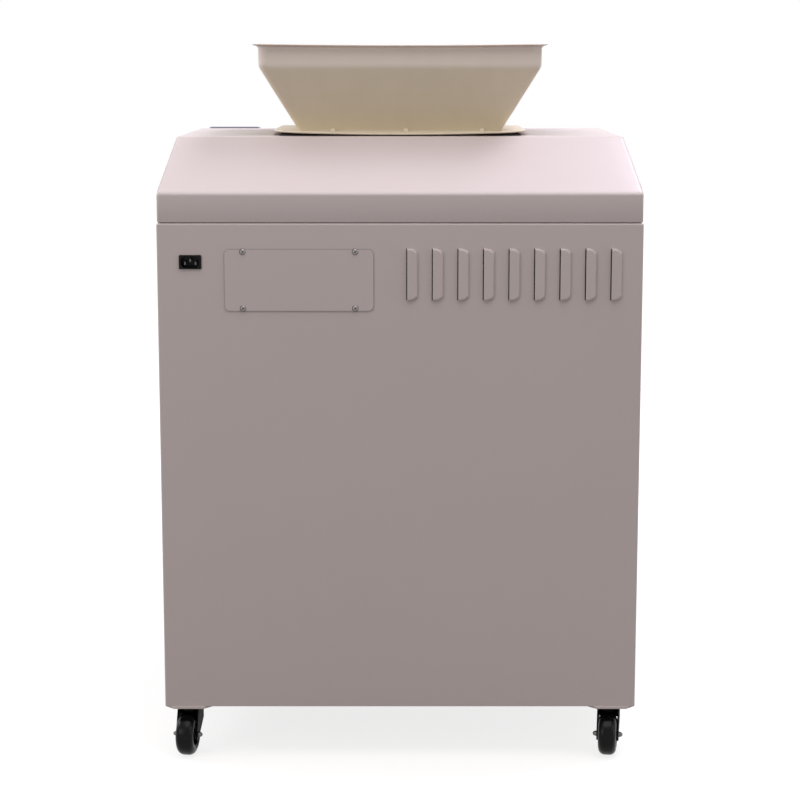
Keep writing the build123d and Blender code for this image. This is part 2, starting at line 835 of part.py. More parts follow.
cutters_a = cutter_stack(shaft_a_y, 0, 1)
save(cutters_a, "cutters_a")
cutters_b = cutter_stack(shaft_b_y, disc_pitch / 2, -1)
save(cutters_b, "cutters_b")


# Gears: involute spur gears cut from plate
def gear_outline(teeth, module, center, turn):
    """A gear's outline as a face, with one tooth at the angle turn, in degrees."""
    pitch_radius = teeth * module / 2
    base_radius = pitch_radius * cos(pressure_angle)
    tip_radius = pitch_radius + addendum * module
    root_radius = pitch_radius - dedendum * module
    start_radius = max(base_radius, root_radius)
    middle_radius = (start_radius + tip_radius) / 2
    half_pitch_angle = tooth_share * pi / teeth + tan(pressure_angle) - pressure_angle

    def flank_angle(radius):
        roll = acos(base_radius / radius)
        return half_pitch_angle - tan(roll) + roll

    def at(radius, angle):
        return (center[0] + radius * cos(angle), center[1] + radius * sin(angle))

    start_angle = flank_angle(start_radius)
    middle_angle = flank_angle(middle_radius)
    tip_angle = flank_angle(tip_radius)
    with BuildSketch() as outline:
        with BuildLine():
            for tooth in range(teeth):
                mid = radians(turn) + 2 * pi * tooth / teeth
                after = mid + 2 * pi / teeth
                if root_radius < start_radius:
                    Line(at(root_radius, mid - start_angle), at(start_radius, mid - start_angle))
                ThreePointArc(
                    at(start_radius, mid - start_angle),
                    at(middle_radius, mid - middle_angle),
                    at(tip_radius, mid - tip_angle),
                )
                Line(at(tip_radius, mid - tip_angle), at(tip_radius, mid + tip_angle))
                ThreePointArc(
                    at(tip_radius, mid + tip_angle),
                    at(middle_radius, mid + middle_angle),
                    at(start_radius, mid + start_angle),
                )
                if root_radius < start_radius:
                    Line(at(start_radius, mid + start_angle), at(root_radius, mid + start_angle))
                Line(at(root_radius, mid + start_angle), at(root_radius, after - start_angle))
        make_face()
    return outline.sketch


def spur_gear(teeth, module, center, turn, start_x, face, bore, windows):
    """One gear on the axis through center, with round windows in its web."""
    with BuildPart() as gear:
        with BuildSketch(Plane.YZ.offset(start_x)):
            add(gear_outline(teeth, module, center, turn))
            with Locations(center):
                Circle(bore, mode=Mode.SUBTRACT)
                if windows:
                    web_radius = (bore + teeth * module / 2) / 2 + 1
                    with PolarLocations(web_radius, windows):
                        Circle(0.2 * teeth * module / 2, mode=Mode.SUBTRACT)
        extrude(amount=face)
    return gear


shaft_a_center = (shaft_a_y, shaft_z)
shaft_b_center = (shaft_b_y, shaft_z)
idler_center = (idler_y, idler_z)
motor_center = (motor_y, motor_z)
gear_bore = journal_radius + press_play
sync_x = -plate_outer_x - gear_gap - sync_face
sync_gear_a = spur_gear(
    sync_teeth, sync_module, shaft_a_center, 0, sync_x, sync_face, gear_bore, 0
)
save(sync_gear_a, "sync_gear_a")
sync_gear_b = spur_gear(
    sync_teeth,
    sync_module,
    shaft_b_center,
    180 + 180 / sync_teeth,
    sync_x,
    sync_face,
    gear_bore,
    0,
)
save(sync_gear_b, "sync_gear_b")
drive_gear = spur_gear(
    drive_teeth, train_module, shaft_a_center, idler_angle, drive_x, drive_face, gear_bore, 6
)
save(drive_gear, "drive_gear")

# Idler: a compound gear, its small pinion on the drive gear and its wheel on the motor pinion,
# that turns on a stud in the gear plate
with BuildPart() as idler_gear:
    with BuildSketch(Plane.YZ.offset(drive_x)):
        pinion_turn = idler_angle + 180 + 180 / pinion_teeth
        add(gear_outline(pinion_teeth, train_module, idler_center, pinion_turn))
    extrude(amount=drive_face + stage_gap)
    with BuildSketch(Plane.YZ.offset(second_x)):
        add(gear_outline(idler_teeth, train_module, idler_center, motor_angle))
        with Locations(idler_center):
            with PolarLocations(0.33 * idler_teeth * train_module, 6):
                Circle(0.1 * idler_teeth * train_module, mode=Mode.SUBTRACT)
    extrude(amount=idler_face)
    with BuildSketch(Plane.YZ.offset(drive_x)):
        with Locations(idler_center):
            Circle(stud_radius + running_play)
    extrude(amount=drive_face + stage_gap + idler_face, mode=Mode.SUBTRACT)
save(idler_gear, "idler_gear")

with BuildPart() as idler_stud:
    with BuildSketch(Plane.YZ.offset(plate_inner_x)):
        with Locations(idler_center):
            Circle(stud_radius)
    extrude(amount=second_x + idler_face + stage_gap - plate_inner_x)
    with BuildSketch(Plane.YZ.offset(plate_outer_x)):
        with Locations(idler_center):
            Circle(stud_head_radius)
    extrude(amount=gear_gap - shoulder_play)
    with BuildSketch(Plane.YZ.offset(second_x + idler_face + shoulder_play)):
        with Locations(idler_center):
            Circle(stud_head_radius)
    extrude(amount=stud_head)
save(idler_stud, "idler_stud")

# Motor: a finned, fan-cooled motor bolted to the gear plate, with a foot on the shelf
motor_back_x = plate_inner_x - motor_length
with BuildPart() as motor_housing:
    with BuildSketch(Plane.YZ.offset(motor_back_x)):
        with Locations(motor_center):
            Circle(motor_radius - motor_fin_depth)
    extrude(amount=motor_length)
    with BuildSketch(Plane.YZ.offset(motor_back_x + 12)):
        with Locations(motor_center):
            with PolarLocations(motor_radius - motor_fin_depth, motor_fin_count):
                Rectangle(2 * motor_fin_depth, 2.5)
    extrude(amount=motor_length - 30)
    for bell_x, bell_length in ((motor_back_x, 12), (plate_inner_x - 18, 18)):
        with BuildSketch(Plane.YZ.offset(bell_x)):
            with Locations(motor_center):
                Circle(motor_radius)
        extrude(amount=bell_length)
    with BuildSketch(Plane.XY.offset(shelf_top)):
        with Locations((plate_inner_x - motor_length / 2, motor_y)):
            Rectangle(motor_foot_length, motor_foot_width)
    extrude(amount=motor_z - shelf_top - motor_radius / 2)
    with BuildSketch(Plane.YZ.offset(motor_back_x)):
        with Locations(motor_center):
            Circle(motor_shaft_radius + running_play)
    extrude(amount=motor_length, mode=Mode.SUBTRACT)
save(motor_housing, "motor_housing")

with BuildPart() as fan_cowl:
    with BuildSketch(Plane.YZ.offset(motor_back_x - cowl_length)):
        with Locations(motor_center):
            Circle(motor_radius)
    extrude(amount=cowl_length)
    with BuildSketch(Plane.YZ.offset(motor_back_x - cowl_length + cowl_wall)):
        with Locations(motor_center):
            Circle(motor_radius - cowl_wall)
    extrude(amount=cowl_length - cowl_wall, mode=Mode.SUBTRACT)
    with BuildSketch(Plane.YZ.offset(motor_back_x - cowl_length)):
        with Locations(motor_center):
            with PolarLocations(0.6 * motor_radius, 10):
                SlotOverall(0.5 * motor_radius, 3.5)
    extrude(amount=cowl_wall, mode=Mode.SUBTRACT)
save(fan_cowl, "fan_cowl")

fan_x = motor_back_x - (cowl_length + fan_width) / 2
with BuildPart() as motor_shaft:
    with BuildSketch(Plane.YZ.offset(fan_x)):
        with Locations(motor_center):
            Circle(motor_shaft_radius)
    extrude(amount=second_x + idler_face + stage_gap - fan_x)
save(motor_shaft, "motor_shaft")

motor_pinion = spur_gear(
    pinion_teeth,
    train_module,
    motor_center,
    motor_angle + 180 + 180 / pinion_teeth,
    second_x,
    idler_face,
    motor_shaft_radius + press_play,
    0,
)
save(motor_pinion, "motor_pinion")

with BuildPart() as motor_fan:
    with BuildSketch(Plane.YZ.offset(fan_x)):
        with Locations(motor_center):
            Circle(2 * motor_shaft_radius)
            with PolarLocations((fan_radius + motor_shaft_radius) / 2, fan_blades):
                Rectangle(fan_radius - motor_shaft_radius, 2.5)
            Circle(motor_shaft_radius + press_play, mode=Mode.SUBTRACT)
    extrude(amount=fan_width)
save(motor_fan, "motor_fan")


# Hopper: a moulded open funnel with a spigot in the deck's opening, a bowed flange over a flat
# seal, tapered walls, a straight collar and a thin outward lip
def hopper_section(height, width, depth, corner):
    """A rounded rectangle about the hopper's axis at a height."""
    with BuildSketch(Plane.XY.offset(height)) as section:
        with Locations((0, hopper_y)):
            RectangleRounded(width, depth, corner)
    return section.sketch


spigot_z = deck_z - spigot_length
bore_width = throat_width - 2 * hopper_wall
bore_depth = throat_depth - 2 * hopper_wall
bore_corner = foot_corner - 2 * hopper_wall
inner_collar = (
    collar_width - 2 * hopper_wall,
    collar_depth - 2 * hopper_wall,
    collar_corner - hopper_wall,
)
flange_low = deck_z + hopper_seal
flange_side = flange_low + flange_bow
wall_lean = (collar_depth - foot_depth) / 2 / taper_height
with BuildPart() as hopper_flange:
    with BuildSketch(Plane.XZ.offset(flange_depth / 2 - hopper_y)):
        with BuildLine():
            ThreePointArc(
                (-flange_width / 2, flange_side), (0, flange_low), (flange_width / 2, flange_side)
            )
            Line(
                (flange_width / 2, flange_side),
                (flange_width / 2, flange_side + flange_thickness),
            )
            ThreePointArc(
                (flange_width / 2, flange_side + flange_thickness),
                (0, flange_low + flange_thickness),
                (-flange_width / 2, flange_side + flange_thickness),
            )
            Line(
                (-flange_width / 2, flange_side + flange_thickness),
                (-flange_width / 2, flange_side),
            )
        make_face()
    extrude(amount=-flange_depth)
    fillet(hopper_flange.edges().filter_by(Axis.Z), flange_corner)

with BuildPart() as hopper:
    add(hopper_flange)
    loft(
        [
            hopper_section(foot_z, foot_width, foot_depth, foot_corner),
            hopper_section(collar_z, collar_width, collar_depth, collar_corner),
        ]
    )
    extrude(hopper_section(collar_z, collar_width, collar_depth, collar_corner), collar_height)
    extrude(
        hopper_section(
            rim_z - lip_thickness,
            collar_width + 2 * lip_overhang,
            collar_depth + 2 * lip_overhang,
            collar_corner + lip_overhang,
        ),
        lip_thickness,
    )
    extrude(
        hopper_section(spigot_z, throat_width, throat_depth, foot_corner - hopper_wall),
        foot_z - spigot_z,
    )
    for side in (-1, 1):
        foot_face = hopper_y + side * foot_depth / 2
        rib_low = foot_z - flange_thickness / 2
        rib_top = 0.7 * rib_reach
        for i in (-1, 0, 1):
            with BuildSketch(Plane.YZ.offset(rib_shift + i * rib_pitch - rib_thickness / 2)):
                with BuildLine():
                    Polyline(
                        (foot_face - side * hopper_wall, rib_low),
                        (foot_face + side * rib_reach, rib_low),
                        (foot_face + side * rib_reach, foot_z + 1),
                        (foot_face + side * rib_top, foot_z + rib_top / wall_lean),
                        (foot_face - side * hopper_wall, rib_low),
                    )
                make_face()
            extrude(amount=rib_thickness)
    extrude(
        hopper_section(spigot_z, bore_width, bore_depth, bore_corner),
        deck_z - spigot_z,
        mode=Mode.SUBTRACT,
    )
    loft(
        [
            hopper_section(deck_z, bore_width, bore_depth, bore_corner),
            hopper_section(collar_z, *inner_collar),
        ],
        mode=Mode.SUBTRACT,
    )
    extrude(hopper_section(collar_z, *inner_collar), collar_height, mode=Mode.SUBTRACT)
save(hopper, "hopper")

with BuildPart() as hopper_gasket:
    with BuildSketch(Plane.XY.offset(deck_z)):
        with Locations((0, hopper_y)):
            RectangleRounded(
                flange_width - 2 * hopper_seal_inset,
                flange_depth - 2 * hopper_seal_inset,
                flange_corner,
            )
            RectangleRounded(
                throat_width + 2 * throat_play,
                throat_depth + 2 * throat_play,
                foot_corner,
                mode=Mode.SUBTRACT,
            )
    extrude(amount=hopper_seal)
save(hopper_gasket, "hopper_gasket")

# Waste bin: a deep tub behind a pan front with a recessed pull, on two slide rails
rail_half = rail_height / 2
with BuildPart() as bin_tub:
    tub_front_y = front_y - drawer_face_depth
    tub_depth = tub_front_y - bin_back_y
    tub_y = (tub_front_y + bin_back_y) / 2
    with BuildSketch(Plane.XY.offset(bin_bottom)):
        with Locations((0, tub_y)):
            RectangleRounded(bin_width, tub_depth, bin_corner)
    extrude(amount=bin_top - bin_bottom)
    with BuildSketch(Plane.XY.offset(bin_bottom + bin_wall)):
        with Locations((0, tub_y)):
            RectangleRounded(
                bin_width - 2 * bin_wall, tub_depth - 2 * bin_wall, bin_corner - bin_wall
            )
    extrude(amount=bin_top - bin_bottom - bin_wall, mode=Mode.SUBTRACT)
save(bin_tub, "bin_tub")

drawer_bottom = opening_bottom + drawer_gap
drawer_middle = (drawer_bottom + drawer_top) / 2
face_width = opening_width - 2 * drawer_gap
with BuildPart() as bin_front:
    with BuildSketch(Plane.XZ.offset(-front_y)):
        with Locations((0, drawer_middle)):
            Rectangle(face_width, drawer_top - drawer_bottom)
    extrude(amount=drawer_face_depth)
    with BuildSketch(Plane.XZ.offset(-front_y + sheet)):
        with Locations((0, drawer_middle)):
            Rectangle(face_width - 2 * sheet, drawer_top - drawer_bottom - 2 * sheet)
    extrude(amount=drawer_face_depth - 2 * sheet, mode=Mode.SUBTRACT)
    with BuildSketch(Plane.XZ.offset(-front_y + drawer_face_depth - sheet)):
        with Locations((0, drawer_middle)):
            Rectangle(
                face_width - 2 * drawer_flange, drawer_top - drawer_bottom - 2 * drawer_flange
            )
    extrude(amount=sheet, mode=Mode.SUBTRACT)
    with BuildSketch(Plane.XZ.offset(-front_y)):
        with Locations((0, pull_z)):
            RectangleRounded(
                pull_width + 2 * press_play, pull_height + 2 * press_play, pull_corner
            )
    extrude(amount=sheet, mode=Mode.SUBTRACT)
save(bin_front, "bin_front")

with BuildPart() as bin_handle:
    with BuildSketch(Plane.XZ.offset(-front_y)):
        with Locations((0, pull_z)):
            RectangleRounded(pull_width, pull_height, pull_corner)
    extrude(amount=pull_depth)
    with BuildSketch(Plane.XZ.offset(-front_y)):
        with Locations((0, pull_z)):
            RectangleRounded(
                pull_width + 2 * pull_rim, pull_height + 2 * pull_rim, pull_corner + pull_rim / 2
            )
    extrude(amount=-pull_plate)
    with BuildSketch(Plane.XZ.offset(-front_y)):
        with Locations((0, pull_z)):
            RectangleRounded(
                pull_width - 2 * pull_wall, pull_height - 2 * pull_wall, pull_corner - pull_wall / 2
            )
    extrude(amount=pull_depth - pull_wall, mode=Mode.SUBTRACT)
    with BuildSketch(Plane.XZ.offset(-front_y)):
        with Locations((0, pull_z)):
            RectangleRounded(
                pull_width - 2 * pull_wall, pull_height - 2 * pull_wall, pull_corner - pull_wall / 2
            )
    extrude(amount=-pull_plate, mode=Mode.SUBTRACT)
    with BuildSketch(Plane.YZ.offset(-pull_width / 2 + pull_wall)):
        with BuildLine():
            lip_top = pull_z + pull_height / 2 - pull_wall
            Polyline(
                (front_y - pull_depth / 2, lip_top),
                (front_y + pull_proud, lip_top),
                (front_y + pull_proud, lip_top - pull_lip),
                (front_y + pull_proud - pull_lip, lip_top - pull_lip_drop),
                (front_y + pull_proud - 2 * pull_lip, lip_top - pull_lip_drop),
                (front_y + pull_proud - 2 * pull_lip, lip_top - pull_lip),
                (front_y - pull_depth / 2, lip_top - pull_lip),
                (front_y - pull_depth / 2, lip_top),
            )
        make_face()
    extrude(amount=pull_width - 2 * pull_wall)
save(bin_handle, "bin_handle")

# Slide rails: C-channels on spacers inside the cabinet's sides, and smaller ones on the tub
with BuildPart() as drawer_runners:
    for side in (-1, 1):
        web = side * (bin_width / 2 + rail_depth)
        with BuildSketch(Plane.XZ.offset(-(bin_back_y + rail_length))):
            with Locations((web + side * rail_sheet / 2, rail_z)):
                Rectangle(rail_sheet, rail_height)
            for end in (-1, 1):
                lip_z = rail_z + end * (rail_half - rail_sheet / 2)
                with Locations((web - side * (rail_depth - rail_play) / 2, lip_z)):
                    Rectangle(rail_depth - rail_play, rail_sheet)
        extrude(amount=rail_length)
        for spacer_y in (bin_back_y + spacer_length, bin_back_y + rail_length - spacer_length):
            with BuildSketch(Plane.YZ.offset(web + side * rail_sheet)):
                with Locations((spacer_y, rail_z)):
                    Rectangle(spacer_length, rail_height - 2 * rail_sheet)
            extrude(amount=side * (inner_width / 2 - abs(web) - rail_sheet))
save(drawer_runners, "drawer_runners")

with BuildPart() as bin_rails:
    for side in (-1, 1):
        face = side * bin_width / 2
        half = rail_half - rail_sheet - rail_play
        with BuildSketch(Plane.XZ.offset(-(bin_back_y + rail_length))):
            with Locations((face + side * rail_sheet / 2, rail_z)):
                Rectangle(rail_sheet, 2 * half)
            for end in (-1, 1):
                lip_z = rail_z + end * (half - rail_sheet / 2)
                with Locations((face + side * (rail_depth - rail_play) / 2, lip_z)):
                    Rectangle(rail_depth - rail_play, rail_sheet)
        extrude(amount=rail_length)
save(bin_rails, "bin_rails")

# Control panel: a low moulding on the front slope with three push buttons and a lamp
slope_angle = atan2(slope_height, deck_front_run)
slope_out = (0, sin(slope_angle), cos(slope_angle))
slope_edge = (panel_x, hood_depth / 2 - deck_front_run, deck_z)
slope_plane = Plane(origin=slope_edge, x_dir=(1, 0, 0), z_dir=slope_out)
panel_center = panel_from_edge + panel_length / 2
button_places = [(i * button_pitch, panel_center + button_drop) for i in (-1, 0, 1)]
lamp_place = (0, panel_center - lamp_rise)
with BuildPart() as control_panel:
    with BuildSketch(slope_plane):
        with Locations((0, panel_center)):
            RectangleRounded(panel_width, panel_length, panel_corner)
    extrude(amount=panel_thickness)
    with BuildSketch(slope_plane.offset(panel_floor)):
        with Locations(*button_places):
            Circle(button_radius + button_play)
        with Locations(lamp_place):
            Circle(lamp_radius + press_play)
    extrude(amount=panel_thickness - panel_floor, mode=Mode.SUBTRACT)
save(control_panel, "control_panel")

for button_name, (button_x, button_s) in zip(
    ("start_button", "reverse_button", "stop_button"), button_places
):
    with BuildPart() as button:
        with BuildSketch(slope_plane.offset(panel_thickness + button_proud - button_height)):
            with Locations((button_x, button_s)):
                Circle(button_radius)
        extrude(amount=button_height)
    save(button, button_name)

with BuildPart() as status_lamp:
    with BuildSketch(slope_plane.offset(panel_floor)):
        with Locations(lamp_place):
            Circle(lamp_radius)
    extrude(amount=panel_thickness - panel_floor)
save(status_lamp, "status_lamp")

# Corner gussets under the cabinet, and the caster stems with their races and nuts
gusset_bottom = cabinet_bottom - gusset_thickness
with BuildPart() as caster_gussets:
    for place_x, place_y in caster_places:
        side = 1 if place_x > 0 else -1
        end = 1 if place_y > 0 else -1
        center_x = side * (cabinet_width / 2 - gusset_size / 2)
        center_y = end * (cabinet_depth / 2 + gusset_proud - gusset_size / 2)
        with BuildSketch(Plane.XY.offset(gusset_bottom)) as gusset_sketch:
            with Locations((center_x, center_y)):
                Rectangle(gusset_size, gusset_size)
            chamfer(gusset_sketch.vertices(), gusset_chamfer)
            with Locations((place_x, place_y)):
                Circle(kingpin_radius + press_play, mode=Mode.SUBTRACT)
        extrude(amount=gusset_thickness)
save(caster_gussets, "caster_gussets")

with BuildPart() as caster_stems:
    with BuildSketch(Plane.XY.offset(fork_crown_bottom)):
        with Locations(*caster_places):
            Circle(kingpin_radius)
    extrude(amount=cabinet_bottom + sheet + stem_nut_height + stem_end - fork_crown_bottom)
    with BuildSketch(Plane.XY.offset(fork_crown_top + race_play)):
        with Locations(*caster_places):
            Circle(race_radius)
    extrude(amount=gusset_bottom - fork_crown_top - race_play)
    with BuildSketch(Plane.XY.offset(cabinet_bottom + sheet)):
        with Locations(*caster_places):
            RegularPolygon(stem_nut_radius, 6)
    extrude(amount=stem_nut_height)
save(caster_stems, "caster_stems")

# Casters: each fork swivels on its kingpin and trails its wheel towards the back of the machine
caster_names = ("rear_left", "rear_right", "front_left", "front_right")
axle_way = (cos(radians(caster_yaw)), -sin(radians(caster_yaw)), 0)
rolling_way = (sin(radians(caster_yaw)), cos(radians(caster_yaw)), 0)
leg_inner = fork_width / 2 - fork_leg
for caster_name, (place_x, place_y) in zip(caster_names, caster_places):

    def across(offset):
        """The plane across the axle at an offset along it, with local x along the rolling way."""
        origin = (place_x + offset * axle_way[0], place_y + offset * axle_way[1], 0)
        return Plane(origin=origin, x_dir=rolling_way, z_dir=axle_way)

    with BuildPart() as fork:
        with BuildSketch(Plane.XY.offset(fork_crown_bottom)):
            with Locations((place_x, place_y)):
                Circle(fork_top_radius)
        extrude(amount=fork_crown_top - fork_crown_bottom)
        for leg_x in (-fork_width / 2, leg_inner):
            with BuildSketch(across(leg_x)):
                with BuildLine():
                    Polyline(
                        (-caster_trail + fork_foot_radius, wheel_radius),
                        (fork_front, fork_skirt_bottom),
                        (fork_front, fork_crown_top - fork_shoulder),
                        (-fork_back, fork_crown_top - fork_shoulder),
                        (-caster_trail - fork_foot_radius, wheel_radius),
                    )
                    ThreePointArc(
                        (-caster_trail - fork_foot_radius, wheel_radius),
                        (-caster_trail, wheel_radius - fork_foot_radius),
                        (-caster_trail + fork_foot_radius, wheel_radius),
                    )
                make_face()
            extrude(amount=fork_leg)
        with BuildSketch(across(-leg_inner)):
            with Locations(
                (fork_front - fork_leg / 2, (fork_skirt_bottom + fork_crown_bottom) / 2)
            ):
                Rectangle(fork_leg, fork_crown_bottom - fork_skirt_bottom)
        extrude(amount=2 * leg_inner)
        with BuildSketch(Plane.XY.offset(fork_crown_bottom)):
            with Locations((place_x, place_y)):
                Circle(kingpin_radius + running_play)
        extrude(amount=fork_crown_top - fork_crown_bottom, mode=Mode.SUBTRACT)
        with BuildSketch(across(-fork_width / 2)):
            with Locations((-caster_trail, wheel_radius)):
                Circle(axle_radius + press_play)
        extrude(amount=fork_width, mode=Mode.SUBTRACT)
    save(fork, f"fork_{caster_name}")

    with BuildPart() as axle:
        with BuildSketch(across(-fork_width / 2)):
            with Locations((-caster_trail, wheel_radius)):
                Circle(axle_radius)
        extrude(amount=fork_width)
        for head_x, out in ((-fork_width / 2, -1), (fork_width / 2, 1)):
            with BuildSketch(across(head_x)):
                with Locations((-caster_trail, wheel_radius)):
                    RegularPolygon(axle_head_radius, 6)
            extrude(amount=out * axle_head)
    save(axle, f"axle_{caster_name}")

    with BuildPart() as wheel:
        with BuildSketch(across(-wheel_width / 2)):
            with Locations((-caster_trail, wheel_radius)):
                Circle(wheel_radius)
        extrude(amount=wheel_width)
        fillet(wheel.edges().filter_by(GeomType.CIRCLE), tread_round)
        with BuildSketch(across(-wheel_width / 2)):
            with Locations((-caster_trail, wheel_radius)):
                Circle(wheel_radius - tyre_depth)
        extrude(amount=wheel_width, mode=Mode.SUBTRACT)
        web_half = wheel_width / 2 - wheel_web_inset
        with BuildSketch(across(-web_half)):
            with Locations((-caster_trail, wheel_radius)):
                Circle(wheel_radius - tyre_depth)
        extrude(amount=2 * web_half)
        for dish_x, out in ((-web_half, 1), (web_half, -1)):
            with BuildSketch(across(dish_x)):
                with Locations((-caster_trail, wheel_radius)):
                    Circle(wheel_radius - tyre_depth - dish_inset)
                    Circle(2 * axle_radius, mode=Mode.SUBTRACT)
            extrude(amount=out * dish_depth, mode=Mode.SUBTRACT)
        with BuildSketch(across(-wheel_width / 2)):
            with Locations((-caster_trail, wheel_radius)):
                Circle(wheel_bore)
        extrude(amount=wheel_width, mode=Mode.SUBTRACT)
    save(wheel, f"wheel_{caster_name}")
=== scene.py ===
from math import cos, pi, radians, sin

import bmesh
import bpy
import numpy as np
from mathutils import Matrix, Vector


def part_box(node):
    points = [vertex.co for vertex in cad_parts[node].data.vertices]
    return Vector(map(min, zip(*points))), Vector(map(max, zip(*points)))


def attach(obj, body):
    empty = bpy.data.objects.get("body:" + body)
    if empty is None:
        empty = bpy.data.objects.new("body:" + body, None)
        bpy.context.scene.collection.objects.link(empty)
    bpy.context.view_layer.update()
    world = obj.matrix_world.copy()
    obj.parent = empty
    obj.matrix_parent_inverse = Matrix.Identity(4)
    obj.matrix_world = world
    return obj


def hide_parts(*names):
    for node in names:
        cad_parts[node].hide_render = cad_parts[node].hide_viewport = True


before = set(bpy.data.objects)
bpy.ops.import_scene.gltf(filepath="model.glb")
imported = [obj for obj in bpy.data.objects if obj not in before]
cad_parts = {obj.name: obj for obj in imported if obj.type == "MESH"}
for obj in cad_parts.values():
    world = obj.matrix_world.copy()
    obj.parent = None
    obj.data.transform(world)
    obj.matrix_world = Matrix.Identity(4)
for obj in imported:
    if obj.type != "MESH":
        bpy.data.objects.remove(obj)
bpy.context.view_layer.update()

# Multifunction shredder seen from its back. Metres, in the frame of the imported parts: +Z is up,
# the origin is on the floor under the cabinet, and the back with the louvres faces -Y.


# Studio: a pale floor, an even sky, seven soft lamps and a camera behind the machine. The floor
# and the sky are white to the camera and in reflections, and the floor keeps the shadow of the
# machine.
floor_half = 12.0
floor_tone = (0.26, 0.25, 0.24, 1)
floor_rough = 0.9
near_glow = 0.8
far_glow = 1.0
glow_start = 0.5
glow_run = 1.6
sky_fill = 0.22
camera_place = (0, -2.9516, 0.9444)
camera_tilt = 9.456
lens_length = 92.54
film_width = 36
scene = bpy.context.scene
scene.view_settings.view_transform = "Standard"


class Wire:
    """A socket in a shader's node tree. Sums and products of wires add Math nodes."""

    def __init__(self, tree, socket=None):
        self.tree = tree
        self.socket = socket

    def node(self, kind, settings, inputs, output=0):
        """Adds a node, sets its settings, then its sockets, and returns one of its outputs."""
        made = self.tree.nodes.new("ShaderNode" + kind)
        for name, value in settings.items():
            setattr(made, name, value)
        for name, value in inputs.items():
            if isinstance(value, Wire):
                self.tree.links.new(value.socket, made.inputs[name])
            else:
                made.inputs[name].default_value = value
        return Wire(self.tree, made.outputs[output])

    def math(self, operation, *values):
        """What a Math node makes of its values, each a wire or a number."""
        return self.node("Math", {"operation": operation}, dict(enumerate(values)))

    def __add__(self, other):
        return self.math("ADD", self, other)

    def __sub__(self, other):
        return self.math("SUBTRACT", self, other)

    def __rsub__(self, other):
        return self.math("SUBTRACT", other, self)

    def __mul__(self, other):
        return self.math("MULTIPLY", self, other)

    __radd__ = __add__
    __rmul__ = __mul__


def finish(name, look):
    """A material. look(place) gives what its sockets take, from a wire of object coordinates."""
    material = bpy.data.materials.new(name)
    material.use_nodes = True
    tree = material.node_tree
    shader = tree.nodes["Principled BSDF"]
    for socket, value in look(Wire(tree).node("TexCoord", {}, {}, "Object")).items():
        if isinstance(value, Wire):
            tree.links.new(value.socket, shader.inputs[socket])
        else:
            shader.inputs[socket].default_value = value
    return material


def seen_rays(tree):
    """1 for rays from the camera, off gloss and through glass, and 0 for those that light."""
    seen = 0.0
    for kind in ("Is Camera Ray", "Is Glossy Ray", "Is Transmission Ray"):
        ray = Wire(tree).node("LightPath", {}, {}, kind)
        seen = ray.math("MAXIMUM", ray, seen)
    return seen


def glowing_floor(place):
    """The floor's own tone for rays that light. Seen rays also meet a white glow, which rises
    smoothly with the distance from the machine."""
    away = place.node("VectorMath", {"operation": "LENGTH"}, {0: place}, "Value")
    reach = away.node(
        "MapRange",
        {"interpolation_type": "SMOOTHSTEP"},
        {0: away, 1: glow_start, 2: glow_start + glow_run, 3: near_glow, 4: far_glow},
    )
    glow = seen_rays(place.tree) * reach
    return {
        "Base Color": floor_tone,
        "Roughness": floor_rough,
        "Emission Color": glow.node("CombineColor", {}, {0: glow, 1: glow, 2: glow}),
        "Emission Strength": 1.0,
    }


floor_corners = np.array([(-1, -1, 0), (1, -1, 0), (1, 1, 0), (-1, 1, 0)]) * floor_half
floor_mesh = bpy.data.meshes.new("floor")
floor_mesh.from_pydata(floor_corners.tolist(), [], [(0, 1, 2, 3)])
floor_mesh.materials.append(finish("studio_floor", glowing_floor))
floor = bpy.data.objects.new("floor", floor_mesh)
scene.collection.objects.link(floor)

sky = bpy.data.worlds.new("studio_sky")
sky.use_nodes = True
scene.world = sky
backdrop = sky.node_tree.nodes["Background"]
backdrop.inputs["Color"].default_value = (1, 1, 1, 1)
brightness = seen_rays(sky.node_tree) * (1 - sky_fill) + sky_fill
sky.node_tree.links.new(brightness.socket, backdrop.inputs["Strength"])


def lamp(name, place, aim, size, power, color):
    """A soft rectangular lamp at a place, turned to face a point, with its power in watts."""
    light = bpy.data.lights.new(name, "AREA")
    light.shape = "RECTANGLE"
    light.size, light.size_y = size
    light.energy = power
    light.color = color
    holder = bpy.data.objects.new(name, light)
    holder.location = place
    holder.rotation_euler = (Vector(aim) - Vector(place)).to_track_quat("-Z", "Y").to_euler()
    scene.collection.objects.link(holder)


lamp("ceiling_lamp", (0.15, -1.0, 2.9), (0, 0, 0.8), (2.4, 1.8), 33, (1, 0.975, 1.0))
lamp("right_panel_lamp", (1.2, 0.45, 3.0), (0.2, 0, 0.8), (0.9, 0.9), 45, (0.97, 0.95, 1.13))
lamp("left_panel_lamp", (-1.05, 0.45, 3.0), (-0.2, 0, 0.8), (0.9, 0.9), 8, (1, 0.97, 1.03))
lamp("window_lamp", (2.6, -1.6, 2.2), (0, 0, 0.8), (1.4, 1.6), 6, (1, 0.975, 1.0))
lamp("fill_lamp", (-2.4, -2.6, 1.6), (0, 0, 0.6), (1.6, 1.6), 21, (1, 0.985, 0.98))
lamp("left_side_lamp", (-2.0, 0.3, 1.4), (0, 0, 0.84), (0.8, 0.8), 14, (1, 0.975, 1.06))
lamp("strip_lamp", (2.4, -0.55, 0.7), (0, -0.22, 0.1), (0.12, 1.3), 5, (1, 0.985, 0.985))

lens = bpy.data.cameras.new("camera")
lens.lens = lens_length
lens.sensor_width = film_width
camera = bpy.data.objects.new("camera", lens)
camera.location = camera_place
camera.rotation_euler = (radians(90 - camera_tilt), 0, 0)
scene.collection.objects.link(camera)
scene.camera = camera


